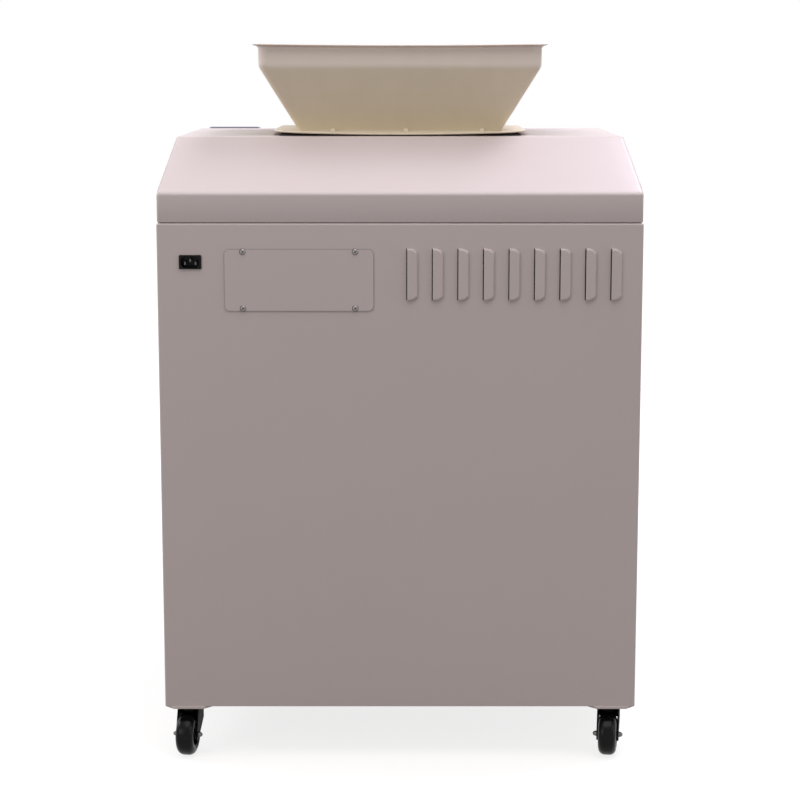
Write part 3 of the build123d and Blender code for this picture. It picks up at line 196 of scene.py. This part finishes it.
# Cabinet: one folded wrap of sheet steel, with the louvres pressed out of its back and a floor
# pan spot-welded in. It is under baked polyester powder, a warm pinkish grey with the skin of
# orange peel that such a coat has.
def paint(red, green, blue):
    """A colour given on the screen's scale of 0 to 255, as the linear colour a shader takes: each
    share, a little offset, to the power of 2.4."""
    shares = np.array([red, green, blue]) / 255
    return (*(((shares + 0.055) / 1.055) ** 2.4).tolist(), 1.0)


def noise(place, scale, detail=2.0):
    """Smooth noise between 0 and 1, with so many waves to the metre and so many finer layers."""
    return place.node("TexNoise", {}, {"Vector": place, "Scale": scale, "Detail": detail})


def between(amount, low, high):
    """Two colours mixed by a wire that runs from 0 to 1."""
    return amount.node("Mix", {"data_type": "RGBA"}, {0: amount, 6: low, 7: high}, 2)


def skin(height, depth):
    """A bump from a wire of heights between 0 and 1, over a depth in metres."""
    return height.node("Bump", {}, {"Strength": 1.0, "Distance": depth, "Height": height})


def shade(tone, share):
    """A colour made darker or lighter by a share."""
    return (*(share * v for v in tone[:3]), 1.0)


def powder(tone, rough):
    """Powder coat: a slow cloud in the colour and two sizes of orange peel."""

    def look(place):
        peel = noise(place, 260, 1.0) + noise(place, 900, 1.0) * 0.35
        return {
            "Base Color": between(noise(place, 2.4, 4.0), shade(tone, 0.93), tone),
            "Roughness": noise(place, 45) * 0.14 + rough,
            "Normal": skin(peel, 0.00009),
            "Specular IOR Level": 0.42,
        }

    return look


def dress(material, *names):
    """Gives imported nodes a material."""
    for name in names:
        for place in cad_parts[name].material_slots:
            place.material = material


cabinet_tone = paint(203, 190, 186)
cabinet_rough = 0.34
cabinet_coat = finish("cabinet_powder_coat", powder(cabinet_tone, cabinet_rough))
dress(cabinet_coat, "cabinet_shell", "floor_pan")


# Folded parts on the cabinet: the gussets over the casters, and the removable pan that closes
# the front over the bin, in the same coat. Their edges are eased as a pressed sheet's edges are.
gusset_edge = 0.0005
panel_edge = 0.0008


def eased(name, width, material, body, segments=2):
    """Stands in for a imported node: a copy with its points merged and its own normals dropped.
    Edges that turn by more than edge_turn are eased, and the flats between them stay flat."""
    merge_gap = 0.00001
    flat_turn = radians(1)
    edge_turn = radians(35)
    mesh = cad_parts[name].data.copy()
    bm = bmesh.new()
    bm.from_mesh(mesh)
    bmesh.ops.remove_doubles(bm, verts=bm.verts, dist=merge_gap)
    bmesh.ops.dissolve_limit(bm, angle_limit=flat_turn, verts=bm.verts, edges=bm.edges)
    bm.to_mesh(mesh)
    bm.free()
    mesh.attributes.remove(mesh.attributes["custom_normal"])
    mesh.shade_smooth()
    mesh.set_sharp_from_angle(angle=pi)
    mesh.materials.clear()
    mesh.materials.append(material)
    made = bpy.data.objects.new(name + "_eased", mesh)
    scene.collection.objects.link(made)
    ease = made.modifiers.new("edges", "BEVEL")
    ease.width = width
    ease.segments = segments
    ease.limit_method = "ANGLE"
    ease.angle_limit = edge_turn
    ease.harden_normals = True
    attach(made, body)
    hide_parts(name)


eased("caster_gussets", gusset_edge, cabinet_coat, "cabinet")
eased("front_panel", panel_edge, cabinet_coat, "cabinet")


# Service cover: a blanked steel plate with round corners in the same coat, screwed over an opening
# in the cabinet's back, with painted shade in the seam along its edge.
cover_low, cover_high = np.array(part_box("service_cover"))
cover_corner = 0.007
seam_width = 0.0009
seam_dark = 0.75
# The tone of the painted shade in the seam.
seam_shade_tone = paint(88, 80, 78)


def covered(place):
    """The powder coat, darker where the distance in from the plate's outline is under a seam's
    width: painted shade in the seam. The outline is a rounded rectangle: corner arcs round an
    inner rectangle."""
    look = powder(cabinet_tone, cabinet_rough)(place)
    in_plane = np.array([1, 0, 1])
    middle = (cover_low + cover_high) / 2 * in_plane
    inner = np.maximum((cover_high - cover_low) / 2 - cover_corner, 0) * in_plane
    flat = place.node("VectorMath", {"operation": "MULTIPLY"}, {0: place, 1: in_plane})
    off = flat.node("VectorMath", {"operation": "SUBTRACT"}, {0: flat, 1: middle})
    off = off.node("VectorMath", {"operation": "ABSOLUTE"}, {0: off})
    off = off.node("VectorMath", {"operation": "SUBTRACT"}, {0: off, 1: inner})
    beyond = off.node("VectorMath", {"operation": "MAXIMUM"}, {0: off, 1: (0, 0, 0)})
    beyond = beyond.node("VectorMath", {"operation": "LENGTH"}, {0: beyond}, "Value")
    nearest = off.math("MAXIMUM", *(off.node("SeparateXYZ", {}, {0: off}, i) for i in (0, 2)))
    depth = cover_corner - beyond - nearest.math("MINIMUM", nearest, 0.0)
    seam = depth.node("MapRange", {}, {0: depth, 1: 0.0, 2: seam_width, 3: seam_dark, 4: 0.0})
    # Painted shade: the plate is darkened along its outline, in the seam.
    look["Base Color"] = between(seam, look["Base Color"], seam_shade_tone)
    return look


dress(finish("cover_powder_coat", covered), "service_cover")


# Hood: a folded and welded cover in a slightly paler coat of the same powder, with a straight
# skirt, four slopes and a flat deck with an opening for the hopper. Its bends have a radius of a
# few millimetres, and its bottom edge is turned in to a flange.
hood_bottom = 0.7308
eave_z = 0.769
deck_z = 0.839
hood_half = np.array([0.3194, 0.2544])
deck_half = np.array([0.3015, 0.1704])
deck_y = 0.015
deck_lap = 0.004
eave_bend = 0.0035
deck_bend = 0.0022
hem_bend = 0.0012
flange_reach = 0.016
hood_corner = 0.005
least_corner = 0.0008
hood_sheet = 0.0015
hood_tone = paint(206, 193, 190)
hood_rough = 0.30
hopper_y = -0.010
throat_half = np.array([0.140, 0.087])
throat_corner = 0.010


def grid_faces(rows, columns, wrap_rows=False, wrap_columns=False):
    """The four-sided faces between neighbouring points of a grid, wrapped round where closed."""
    index = np.arange(rows * columns).reshape(rows, columns)
    if wrap_rows:
        index = np.vstack([index, index[:1]])
    if wrap_columns:
        index = np.hstack([index, index[:, :1]])
    corners = (index[:-1, :-1], index[:-1, 1:], index[1:, 1:], index[1:, :-1])
    return np.stack(corners, -1).reshape(-1, 4)


def piece(name, points, faces, material, body, replaced=(), crease=40):
    """A new piece from arrays of points and faces. It moves with a body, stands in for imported
    nodes, and is sharp along edges that turn by more than crease degrees."""
    mesh = bpy.data.meshes.new(name)
    faces = [list(map(int, face)) for face in faces]
    mesh.from_pydata(np.asarray(points).reshape(-1, 3).tolist(), [], faces)
    mesh.shade_smooth()
    mesh.set_sharp_from_angle(angle=radians(crease))
    mesh.materials.append(material)
    made = bpy.data.objects.new(name, mesh)
    scene.collection.objects.link(made)
    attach(made, body)
    if replaced:
        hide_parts(*replaced)
    return made


def ring_table(per_corner, per_side):
    """For points round a rounded rectangle: the share of its half sizes at which each one's
    corner arc is centred, and the direction from there."""
    centres, ways = [], []
    corners = np.array([(1, 1), (-1, 1), (-1, -1), (1, -1)])
    for i in range(4):
        angles = pi / 2 * (i + np.linspace(0, 1, per_corner))
        way = np.stack([np.cos(angles), np.sin(angles)], -1)
        ways.append(way)
        centres.append(np.repeat(corners[i : i + 1], per_corner, 0))
        share = (np.arange(1, per_side + 1) / (per_side + 1))[:, None]
        centres.append(corners[i] * (1 - share) + corners[(i + 1) % 4] * share)
        ways.append(np.repeat(way[-1:], per_side, 0))
    return np.concatenate(centres), np.concatenate(ways)


def rings(halves, corners, heights, middle_y, per_corner, per_side):
    """Rounded rectangles stacked up, from the half sizes, corner radius, height and middle of
    each: a point is its share of the half sizes less the corner, and a corner's radius out."""
    centres, ways = ring_table(per_corner, per_side)
    halves = np.asarray(halves, float)[:, None, :]
    corners = np.broadcast_to(corners, halves.shape[:1])[:, None, None]
    flat = centres * (halves - corners) + ways * corners
    flat[..., 1] += np.broadcast_to(middle_y, halves.shape[:1])[:, None]
    z = np.broadcast_to(np.asarray(heights, float)[:, None], flat.shape[:2])
    return np.concatenate([flat, z[..., None]], -1)


def hood_rings():
    """The hood's profile from the flange up the skirt, over both bends and in to the opening.
    The share is how far a ring has come along the straight slope from skirt to deck, and the
    inset is how much further in it lies. Both bends are parabolas through heights that are
    common to all four sides."""
    rise = deck_z - eave_z
    t = np.linspace(0, 1, 7)
    hem_heights = hood_bottom + hem_bend * np.array([0, 0, 1 / 3, 1])
    eave_heights = eave_z + eave_bend * (t**2 - (1 - t) ** 2)
    deck_heights = deck_z - deck_bend * (1 - t) ** 2
    eave_share = t**2 * eave_bend / rise
    deck_share = 1 - (1 - t) ** 2 * deck_bend / rise
    share = np.concatenate([np.zeros(4), eave_share, deck_share])
    hem_inset = [flange_reach, hem_bend, hem_bend / 3, 0]
    inset = np.concatenate([hem_inset, np.zeros(7), deck_lap * t**2])
    halves = hood_half - (hood_half - deck_half) * share[:, None] - inset[:, None]
    return rings(
        np.vstack([halves, throat_half]),
        np.append(np.maximum(hood_corner - inset, least_corner), throat_corner),
        np.concatenate([hem_heights, eave_heights, deck_heights, [deck_z]]),
        np.append(deck_y * share, hopper_y),
        per_corner=7,
        per_side=23,
    )


hood_coat = finish("hood_powder_coat", powder(hood_tone, hood_rough))
points = hood_rings()
faces = grid_faces(*points.shape[:2], wrap_columns=True)
hood = piece("hood", points, faces, hood_coat, "cabinet", ["top_hood"])
thick = hood.modifiers.new("sheet", "SOLIDIFY")
thick.thickness = hood_sheet
thick.offset = -1


# Seals: flat frames cut from black sponge rubber. One lies between the flanges of the cabinet
# and the hood, and one between the deck and the hopper's flange.
def rubber(place):
    """Sponge rubber: fine cells that are paler and higher where the noise is high."""
    cells = noise(place, 1400)
    return {
        "Base Color": between(cells, paint(22, 21, 21), paint(38, 36, 36)),
        "Roughness": 0.86,
        "Normal": skin(cells, 0.0002),
    }


dress(finish("sponge_rubber", rubber), "hood_gasket", "hopper_gasket")


# Hopper: one moulding in ivory plastic, with a spigot in the deck's opening, a bowed flange,
# tapered walls, a straight collar and a thin lip that sags a little between its corners. It lifts
# out of the deck by hand.
spigot_half = np.array([0.1380, 0.085])
spigot_corner = 0.007
spigot_bottom = 0.825
spigot_ease = 0.0012
spigot_fillet = 0.001
flange_half = np.array([0.1735, 0.125])
flange_corner = 0.040
flange_z = 0.8405
flange_edge = 0.0012
flange_bow = 0.0036
foot_half = np.array([0.1384, 0.089])
foot_corner = 0.011
foot_z = 0.843
foot_bend = 0.004
foot_flare = 0.003
foot_bow = 0.15
wall_corner = 0.010
hopper_wall = 0.003
collar_half = np.array([0.1914, 0.141])
collar_corner = 0.014
collar_z = 0.9325
collar_bend = 0.0045
rim_z = 0.9625
lip_sheet = 0.0022
lip_reach = 0.008
lip_sag = 0.0016
bore_half = np.array([0.1350, 0.082])
bore_corner = 0.006
bore_drop = 0.002
# How far below and above the collar's top the painted light on the collar fades in.
collar_light_below = 0.004
collar_light_above = 0.002
# How far under the lip the painted shade reaches.
lip_shade_reach = 0.003


def hopper_profile():
    """Half sizes, corner radius, height and share of bow of each ring, up the outside, over the
    lip and down the inside. The walls are straight, and the flange's edge and the bends at the
    foot and the collar are parabolas."""
    rows = [
        (spigot_half, spigot_corner, spigot_bottom, 0),
        (spigot_half, spigot_corner, flange_z - spigot_fillet, 0),
        (spigot_half + spigot_fillet, spigot_corner + spigot_fillet, flange_z, 0),
    ]
    edge_rises = (0, 0.0005, 0.0012, 0.0020, 0.0025)
    for t, rise in zip(np.linspace(-1, 1, 5), edge_rises):
        inset = flange_edge * t**2
        rows.append((flange_half - inset, flange_corner - inset, flange_z + rise, 1))
    slope = (collar_half - foot_half) / (collar_z - foot_z)
    for t in np.linspace(0, 1, 5):
        rise = foot_bend * t**2
        half = foot_half + slope * rise + foot_flare * (1 - t) ** 2
        rows.append((half, foot_corner, foot_z + rise, foot_bow * (1 - t)))
    for t in np.linspace(0.1, 0.94, 6):
        half = foot_half + (collar_half - foot_half) * t
        corner = wall_corner + (collar_corner - wall_corner) * t
        rows.append((half, corner, foot_z + (collar_z - foot_z) * t, 0))
    for t in np.linspace(0, 1, 5):
        half = collar_half - slope * collar_bend * (1 - t) ** 2
        rows.append((half, collar_corner, collar_z + collar_bend * (t**2 - (1 - t) ** 2), 0))
    under_lip = rim_z - lip_sheet
    lip = [
        (0, under_lip - 0.0048),
        (0.0004, under_lip - 0.0030),
        (0.0014, under_lip - 0.0013),
        (0.0030, under_lip - 0.0004),
        (0.0050, under_lip),
        (lip_reach - 0.0008, under_lip + 0.0006),
        (lip_reach, under_lip + 0.0011),
        (lip_reach - 0.0005, rim_z - 0.0003),
        (lip_reach - 0.0014, rim_z),
        (0, rim_z),
        (-0.0018, rim_z - 0.0004),
        (-hopper_wall, rim_z - 0.0018),
        (-hopper_wall, collar_z + 0.004),
        (-hopper_wall, collar_z),
    ]
    rows += [(collar_half + reach, collar_corner + reach, height, 0) for reach, height in lip]
    inner_half = collar_half - hopper_wall
    inner_corner = collar_corner - hopper_wall
    for t in np.linspace(0.06, 0.96, 8):
        half = inner_half + (bore_half - inner_half) * t
        corner = inner_corner + (spigot_corner - inner_corner) * t
        rows.append((half, corner, collar_z + (deck_z - collar_z) * t, 0))
    return rows + [
        (bore_half, bore_corner, deck_z - bore_drop, 0),
        (bore_half, bore_corner, spigot_bottom + spigot_ease, 0),
        (bore_half + spigot_ease, spigot_corner, spigot_bottom, 0),
    ]


def hopper_rings():
    """The profile as rings. The flange bows up with the square of the way out to its ends, and
    the lip sags as a parabola between its corners, less and less down to the collar's foot."""
    halves, corners, heights, bow = zip(*hopper_profile())
    points = rings(halves, corners, heights, hopper_y, per_corner=9, per_side=19)
    out, z = np.abs(points[..., 0]), points[..., 2]
    z += flange_bow * np.array(bow)[:, None] * np.minimum(out / flange_half[0], 1) ** 2
    rim_share = np.clip((z - collar_z) / (rim_z - collar_z), 0, 1)
    z -= lip_sag * rim_share * (1 - np.minimum(out / collar_half[0], 1) ** 2)
    return points


def moulded_plastic(place):
    """Ivory plastic: cloudy and satin, with faint flow lines. Its collar takes a paler, greyer
    copy of the walls' colour, painted light for how the light falls on it, and it is darker from
    just under its lip upwards, painted shade under the lip."""
    cloud = noise(place, 7, 3.0)
    grain = noise(place, 1500, 1.0)
    flow = noise(place.node("Mapping", {}, {"Vector": place, "Scale": (30, 30, 6)}), 1.5)
    tint = cloud * 0.6 + flow * 0.4
    height = place.node("SeparateXYZ", {}, {0: place}, 2)
    fold, under_lip = collar_z - collar_light_below, rim_z - lip_sheet
    # Painted light: the collar gets a paler, greyer copy of the walls' colour.
    collar_light = place.node("MapRange", {}, {0: height, 1: fold, 2: collar_z + collar_light_above})
    # Painted shade: darker from just under the lip upwards.
    lip_shade = place.node("MapRange", {}, {0: height, 1: under_lip - lip_shade_reach, 2: under_lip})
    walls = between(tint, paint(218, 205, 181), paint(230, 218, 195))
    collar = between(tint, paint(221, 207, 195), paint(232, 220, 208))
    return {
        "Base Color": between(lip_shade, between(collar_light, walls, collar), paint(192, 178, 164)),
        "Roughness": noise(place, 60) * 0.14 + 0.36,
        "Normal": skin(grain * 0.5 + flow, 0.00012),
    }


hopper_plastic = finish("hopper_ivory_plastic", moulded_plastic)
points = hopper_rings()
piece(
    "hopper_funnel",
    points,
    grid_faces(*points.shape[:2], wrap_rows=True, wrap_columns=True),
    hopper_plastic,
    "hopper",
    ["hopper"],
    crease=50,
)


# Hopper ribs: three short webs at the foot of each long wall, in one moulding with the hopper.
# They stiffen the foot, from the flange up the taper.
rib_places = (-0.0925, 0.008, 0.1125)
rib_half = 0.003
rib_reach = 0.006
rib_height = 0.005
rib_step = 0.001
rib_root = 0.001
rib_sink = 0.0012


def webs():
    """Each rib is a five-sided plate between the flange and the leaning wall, given both sides:
    upright at its outer end, then straight to a narrow top that is sunk in the wall."""
    lean = (collar_half[1] - foot_half[1]) / (collar_z - foot_z)
    outline = [
        (-rib_root, foot_z - rib_sink),
        (rib_reach, foot_z - rib_sink),
        (rib_reach, foot_z + rib_step),
        (lean * rib_height + rib_root, foot_z + rib_height),
        (lean * rib_height - rib_root, foot_z + rib_height),
    ]
    count = len(outline)
    plate = [list(range(count))[::-1], list(range(count, 2 * count))]
    plate += [[i, (i + 1) % count, (i + 1) % count + count, i + count] for i in range(count)]
    points, faces = [], []
    for way in (-1, 1):
        for x in rib_places:
            start = len(points)
            faces += [[start + i for i in face] for face in plate]
            for side in (x - rib_half, x + rib_half):
                points += [(side, hopper_y + way * (foot_half[1] + out), z) for out, z in outline]
    return points, faces


points, faces = webs()
ribs = piece("hopper_ribs", points, faces, hopper_plastic, "hopper")
bm = bmesh.new()
bm.from_mesh(ribs.data)
bmesh.ops.recalc_face_normals(bm, faces=bm.faces)
bm.to_mesh(ribs.data)
bm.free()


# Cover screws: zinc-plated M4 pan heads with a cross recess, one near each corner of the service
# cover, driven into the cabinet's back.
screw_inset_x = 0.0245
screw_inset_z = 0.0036
head_radius = 0.0043
head_height = 0.0024
shank_share = 0.5
screw_length = 0.008
recess_depth = 0.0011
recess_turn = 0.3
slot_half = 0.0004
slot_reach = 0.0012
slot_fade = 1.4
reach_fade = 1.9


def plated(tone, rough):
    """Zinc plate: bright, with cloudy passivation and fine scratches."""

    def look(place):
        cloud = noise(place, 180, 3.0)
        return {
            "Base Color": between(cloud, shade(tone, 0.82), tone),
            "Metallic": 1.0,
            "Roughness": noise(place, 600) * 0.16 + rough,
            "Normal": skin(noise(place, 2500, 1.0), 0.00002),
        }

    return look


def screw_head(middle_x, middle_z):
    """A dome in polar coordinates over a flat underside and a shank, less a cross: two crossed
    troughs, whose depth falls off in a straight line sideways and outwards."""
    share = np.concatenate([np.linspace(0.02, 0.99, 26), [1.0, shank_share, shank_share]])
    turn = np.linspace(0, 2 * pi, 72, endpoint=False)
    r, a = np.meshgrid(share * head_radius, turn, indexing="ij")
    dome = (head_radius**2 + head_height**2) / (2 * head_height)
    height = np.sqrt(dome**2 - r**2) - dome + head_height
    height[-3:] = np.array([0, 0, -screw_length])[:, None]
    across = np.minimum(np.abs(r * np.cos(a)), np.abs(r * np.sin(a)))
    trough = np.clip(slot_fade - across / slot_half, 0, 1)
    height -= recess_depth * trough * np.clip(reach_fade - r / slot_reach, 0, 1)
    x, z = r * np.cos(a + recess_turn), r * np.sin(a + recess_turn)
    return np.stack([middle_x + x, cover_low[1] - height, middle_z + z], -1)


screw_x = (cover_low[0] + screw_inset_x, cover_high[0] - screw_inset_x)
screw_z = (cover_low[2] + screw_inset_z, cover_high[2] - screw_inset_z)
heads = np.array([screw_head(x, z) for x in screw_x for z in screw_z])
around = heads.shape[2]
size = heads.shape[1] * around
# A head's rings run from its middle outwards, so each face is turned round to point out of it.
one_head = grid_faces(*heads.shape[1:3], wrap_columns=True)[:, [0, 3, 2, 1]].tolist()
one_head += [list(range(around)), list(range(size - around, size))[::-1]]
faces = [[i * size + k for k in face] for i in range(len(heads)) for face in one_head]
bright_screw = finish("bright_screw", plated(paint(124, 120, 118), 0.1))
piece("cover_screws", heads, faces, bright_screw, "cabinet", ["service_screws"], crease=60)


# Mains inlet: a glossy black moulding that snaps into the cabinet's back, with three flat pins of
# nickel-plated brass, whose colour is darkened as painted shade in the inlet's recess.
inlet_edge = 0.0004


def black_moulding(place):
    """Black plastic: glossy, with a weak cloud in its tone and gloss."""
    return {
        "Base Color": between(noise(place, 90, 3.0), paint(6, 6, 8), paint(12, 12, 14)),
        "Roughness": noise(place, 220) * 0.16 + 0.24,
        "Specular IOR Level": 0.14,
        "Normal": skin(noise(place, 1200, 1.0), 0.00003),
    }


black_plastic = finish("black_moulded_plastic", black_moulding)
eased("inlet_housing", inlet_edge, black_plastic, "cabinet")
# Painted shade: the pins' plating gets a dark tone for the shade in the inlet's recess.
dress(finish("nickel_pins", plated(paint(92, 90, 92), 0.3)), "inlet_pins")


# Casters: a black nylon fork that swivels on a zinc-plated stem bolted through the cabinet's
# floor, and a wheel with a hard tread and dished sides, on a bolt through the fork. All four
# trail the same way.
caster_yaw = radians(-9)
fork_edge = 0.0006
fork_half = 0.015
bolt_head = 0.0054
bolt_radius = 0.0038
bolt_fall = 0.9
axle_radius = 0.0032
wheel_radius = 0.0285
tread_half = 0.01225
tread_round = 0.009
tyre_inner = 0.018
rim_width = 0.0028
web_half = 0.01125
dish_depth = 0.005
dish_draft = 0.0006
hub_radius = 0.0064
bore = 0.00325


def nylon(place):
    """Nylon: dull and nearly black."""
    return {
        "Base Color": between(noise(place, 60, 3.0), paint(5, 5, 6), paint(11, 11, 12)),
        "Roughness": noise(place, 300) * 0.18 + 0.42,
        "Specular IOR Level": 0.05,
        "Normal": skin(noise(place, 900), 0.00005),
    }


def tread(place):
    """The wheel's plastic: black and worn smooth, duller and paler where dust clings."""
    dust = noise(place, 120, 4.0)
    return {
        "Base Color": between(dust, paint(6, 6, 7), paint(13, 13, 13)),
        "Roughness": dust * 0.12 + 0.16,
        "Specular IOR Level": 0.13,
        "Normal": skin(noise(place, 700), 0.00008),
    }


def rounded(corners, radii):
    """A closed outline whose corners are quarter ellipses that start a radius away from each."""
    back, ahead = (np.roll(corners, way, 0) - corners for way in (1, -1))
    back, ahead = (v / np.linalg.norm(v, axis=1, keepdims=True) for v in (back, ahead))
    turn = np.linspace(0, pi / 2, 9)[None, :, None]
    arcs = back[:, None] * (1 - np.sin(turn)) + ahead[:, None] * (1 - np.cos(turn))
    return (corners[:, None] + radii[:, None, None] * arcs).reshape(-1, 2)


def round_axle(along, radius, turn):
    """Points at places along a caster's axle, at radii from it, in directions round it."""
    axle = np.array([cos(caster_yaw), sin(caster_yaw), 0])
    level = np.array([-sin(caster_yaw), cos(caster_yaw), 0])
    up = np.array([0, 0, 1])
    out = np.cos(turn)[:, None, None] * level + np.sin(turn)[:, None, None] * up
    return along[:, None] * axle + radius[:, None] * out


def wheel_points(middle):
    """The wheel's section turned round the axle. Each corner of the section has its place along
    the axle, its radius and how far it is rounded, given for one side and mirrored."""
    half = [
        (web_half, bore, 0.0004),
        (web_half, hub_radius, 0.0008),
        (web_half - dish_depth, hub_radius + dish_draft, 0.0008),
        (web_half - dish_depth, tyre_inner - rim_width - dish_draft, 0.0008),
        (web_half, tyre_inner - rim_width, 0.0006),
        (web_half, tyre_inner, 0.0001),
        (tread_half, tyre_inner, 0.0006),
        (tread_half, wheel_radius, tread_round),
    ]
    section = np.array(half + [(-x, r, ease) for x, r, ease in half[::-1]])
    along, radius = rounded(section[:, :2], section[:, 2]).T
    return middle + round_axle(along, radius, np.linspace(0, 2 * pi, 96, endpoint=False))


def bolt(middle):
    """The axle bolt: a shank between two domes with flat ends, turned round the axle. A dome's
    section is most of a quarter ellipse."""
    t = np.linspace(0, 1, 9)
    dome = [fork_half + bolt_head * t, bolt_radius * np.sqrt(1 - bolt_fall * t**2)]
    shank = np.array([[0, fork_half], [axle_radius, axle_radius]])
    right = np.hstack([shank, dome])
    along, radius = np.hstack([right[:, ::-1] * [[-1], [1]], right[:, 1:]])[:, ::-1]
    points = middle + round_axle(along, radius, np.linspace(0, 2 * pi, 48, endpoint=False))
    turns, size = points.shape[:2]
    left_end, right_end = ([i * size + k for i in range(turns)] for k in (0, size - 1))
    return points, [*grid_faces(turns, size, wrap_rows=True).tolist(), left_end, right_end[::-1]]


zinc = finish("zinc_plate", plated(paint(168, 166, 162), 0.24))
axle_zinc = finish("axle_zinc", plated(paint(104, 103, 102), 0.2))
caster_black = finish("caster_black", nylon)
caster_tread = finish("caster_tread", tread)
dress(zinc, "caster_stems")
for name in ("rear_left", "rear_right", "front_left", "front_right"):
    wheel, fork = f"wheel_{name}", f"fork_{name}"
    middle = np.mean(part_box(wheel), 0)
    points = wheel_points(middle)
    faces = grid_faces(*points.shape[:2], wrap_rows=True, wrap_columns=True)
    piece(f"tyre_{name}", points, faces, caster_tread, wheel, [wheel])
    eased(fork, fork_edge, caster_black, fork)
    points, faces = bolt(middle)
    piece(f"bolt_{name}", points, faces, axle_zinc, fork, [f"axle_{name}"], crease=60)


# Waste bin: a dark grey plastic tub behind a folded steel front in the cabinet's coat, with a
# recessed pull in black plastic. It runs out of the machine's front on rails.
pull_edge = 0.0010


def tub_plastic(place):
    """The tub's plastic: grey, cloudy and rather dull."""
    return {
        "Base Color": between(noise(place, 14, 4.0), paint(66, 66, 68), paint(80, 80, 82)),
        "Roughness": noise(place, 90) * 0.12 + 0.48,
        "Normal": skin(noise(place, 1600), 0.00012),
    }


dress(finish("bin_grey_plastic", tub_plastic), "bin_tub")
eased("bin_front", panel_edge, cabinet_coat, "waste_bin")
eased("bin_handle", pull_edge, black_plastic, "waste_bin", segments=3)


# Machine shelf, feed chute, runners and rails: bent from galvanised sheet, which keeps its cloudy
# zinc. The shelf carries the cutter block and the motor, and the bin's rails slide in the
# cabinet's runners.
galvanised = finish("galvanised_sheet", plated(paint(138, 140, 142), 0.42))
dress(galvanised, "machine_shelf", "feed_chute", "drawer_runners", "bin_rails")


# Side plates and combs: rolled steel plate. The two side plates carry the shafts and are held
# apart by zinc-plated tie rods, and the combs' fingers strip the discs as they turn.
def rolled_steel(tone, rough, stretch):
    """Rolled or ground steel: fine lines along one way and a faint stain."""

    def look(place):
        lines = noise(place.node("Mapping", {}, {"Vector": place, "Scale": stretch}), 60, 3.0)
        stain = noise(place, 16, 4.0)
        return {
            "Base Color": between(stain, shade(tone, 0.7), tone),
            "Metallic": 1.0,
            "Roughness": lines * 0.22 + rough,
            "Normal": skin(lines, 0.00004),
        }

    return look


plate_steel = finish("plate_steel", rolled_steel(paint(150, 150, 152), 0.3, (1, 30, 1)))
dress(plate_steel, "side_plate_left", "side_plate_right", "comb_back", "comb_front")
dress(zinc, "tie_rods")


# Cutters, shafts and gears: hardened steel, ground on the faces, with a film of oil. The shafts
# turn in bronze bushes pressed into the side plates.
tool_steel = finish("tool_steel", rolled_steel(paint(132, 133, 138), 0.2, (14, 1, 1)))
gear_steel = finish("gear_steel", rolled_steel(paint(118, 116, 114), 0.26, (10, 1, 1)))
bronze = finish("bronze_bush", rolled_steel(paint(196, 148, 86), 0.3, (1, 1, 1)))
dress(tool_steel, "shaft_a", "shaft_b", "cutters_a", "cutters_b", "motor_shaft")
dress(gear_steel, "sync_gear_a", "sync_gear_b", "drive_gear")
dress(gear_steel, "idler_gear", "idler_stud", "motor_pinion")
dress(bronze, "shaft_bushes")


# Motor: a finned housing and a fan cowl in dark enamel, bolted to the gear plate, with a black
# plastic fan. Its run capacitor is a drawn can of bare metal.
def enamel(place):
    """Enamel: a dark blue-grey with a soft cloud and a pebbly skin."""
    return {
        "Base Color": between(noise(place, 30, 3.0), paint(52, 58, 62), paint(64, 70, 74)),
        "Roughness": noise(place, 200) * 0.15 + 0.36,
        "Normal": skin(noise(place, 700), 0.00012),
    }


dress(finish("motor_enamel", enamel), "motor_housing", "fan_cowl")
dress(caster_black, "motor_fan")
dress(finish("capacitor_can", plated(paint(190, 190, 190), 0.34)), "run_capacitor")


# Control board: a laminate under green solder mask, with paler tracks, on standoffs behind the
# service cover.
def solder_mask(place):
    """Green bricks in two tones for the areas of copper, with paler joints for the tracks."""
    upright = place.node("Mapping", {}, {"Vector": place, "Rotation": (radians(90), 0, 0)})
    tracks = place.node(
        "TexBrick",
        {},
        {
            "Vector": upright,
            "Scale": 120.0,
            "Color1": paint(22, 84, 52),
            "Color2": paint(28, 96, 58),
            "Mortar": paint(60, 130, 84),
            "Mortar Size": 0.06,
        },
    )
    return {"Base Color": tracks, "Roughness": 0.35}


dress(finish("board_green", solder_mask), "control_board")


# Control panel: a violet-grey moulding on the front slope, with three push caps and the lens of a
# lamp in tinted plastic.
control_edge = 0.0010
cap_edge = 0.0012


def tinted(tone, rough):
    """Tinted plastic: a weak cloud in its tone and a fine grain."""

    def look(place):
        grain = noise(place, 1300)
        return {
            "Base Color": between(noise(place, 50, 3.0), shade(tone, 0.88), tone),
            "Roughness": grain * 0.12 + rough,
            "Normal": skin(grain, 0.00004),
        }

    return look


violet_grey = finish("panel_violet_grey", tinted(paint(96, 92, 108), 0.35))
eased("control_panel", control_edge, violet_grey, "cabinet", segments=3)
for name, slot, tone in (
    ("start_button", "green_button", paint(38, 132, 70)),
    ("reverse_button", "yellow_button", paint(222, 178, 38)),
    ("stop_button", "red_button", paint(186, 34, 30)),
):
    eased(name, cap_edge, finish(f"{name}_cap", tinted(tone, 0.28)), name, segments=4)
dress(finish("lamp_lens", tinted(paint(206, 214, 200), 0.12)), "status_lamp")
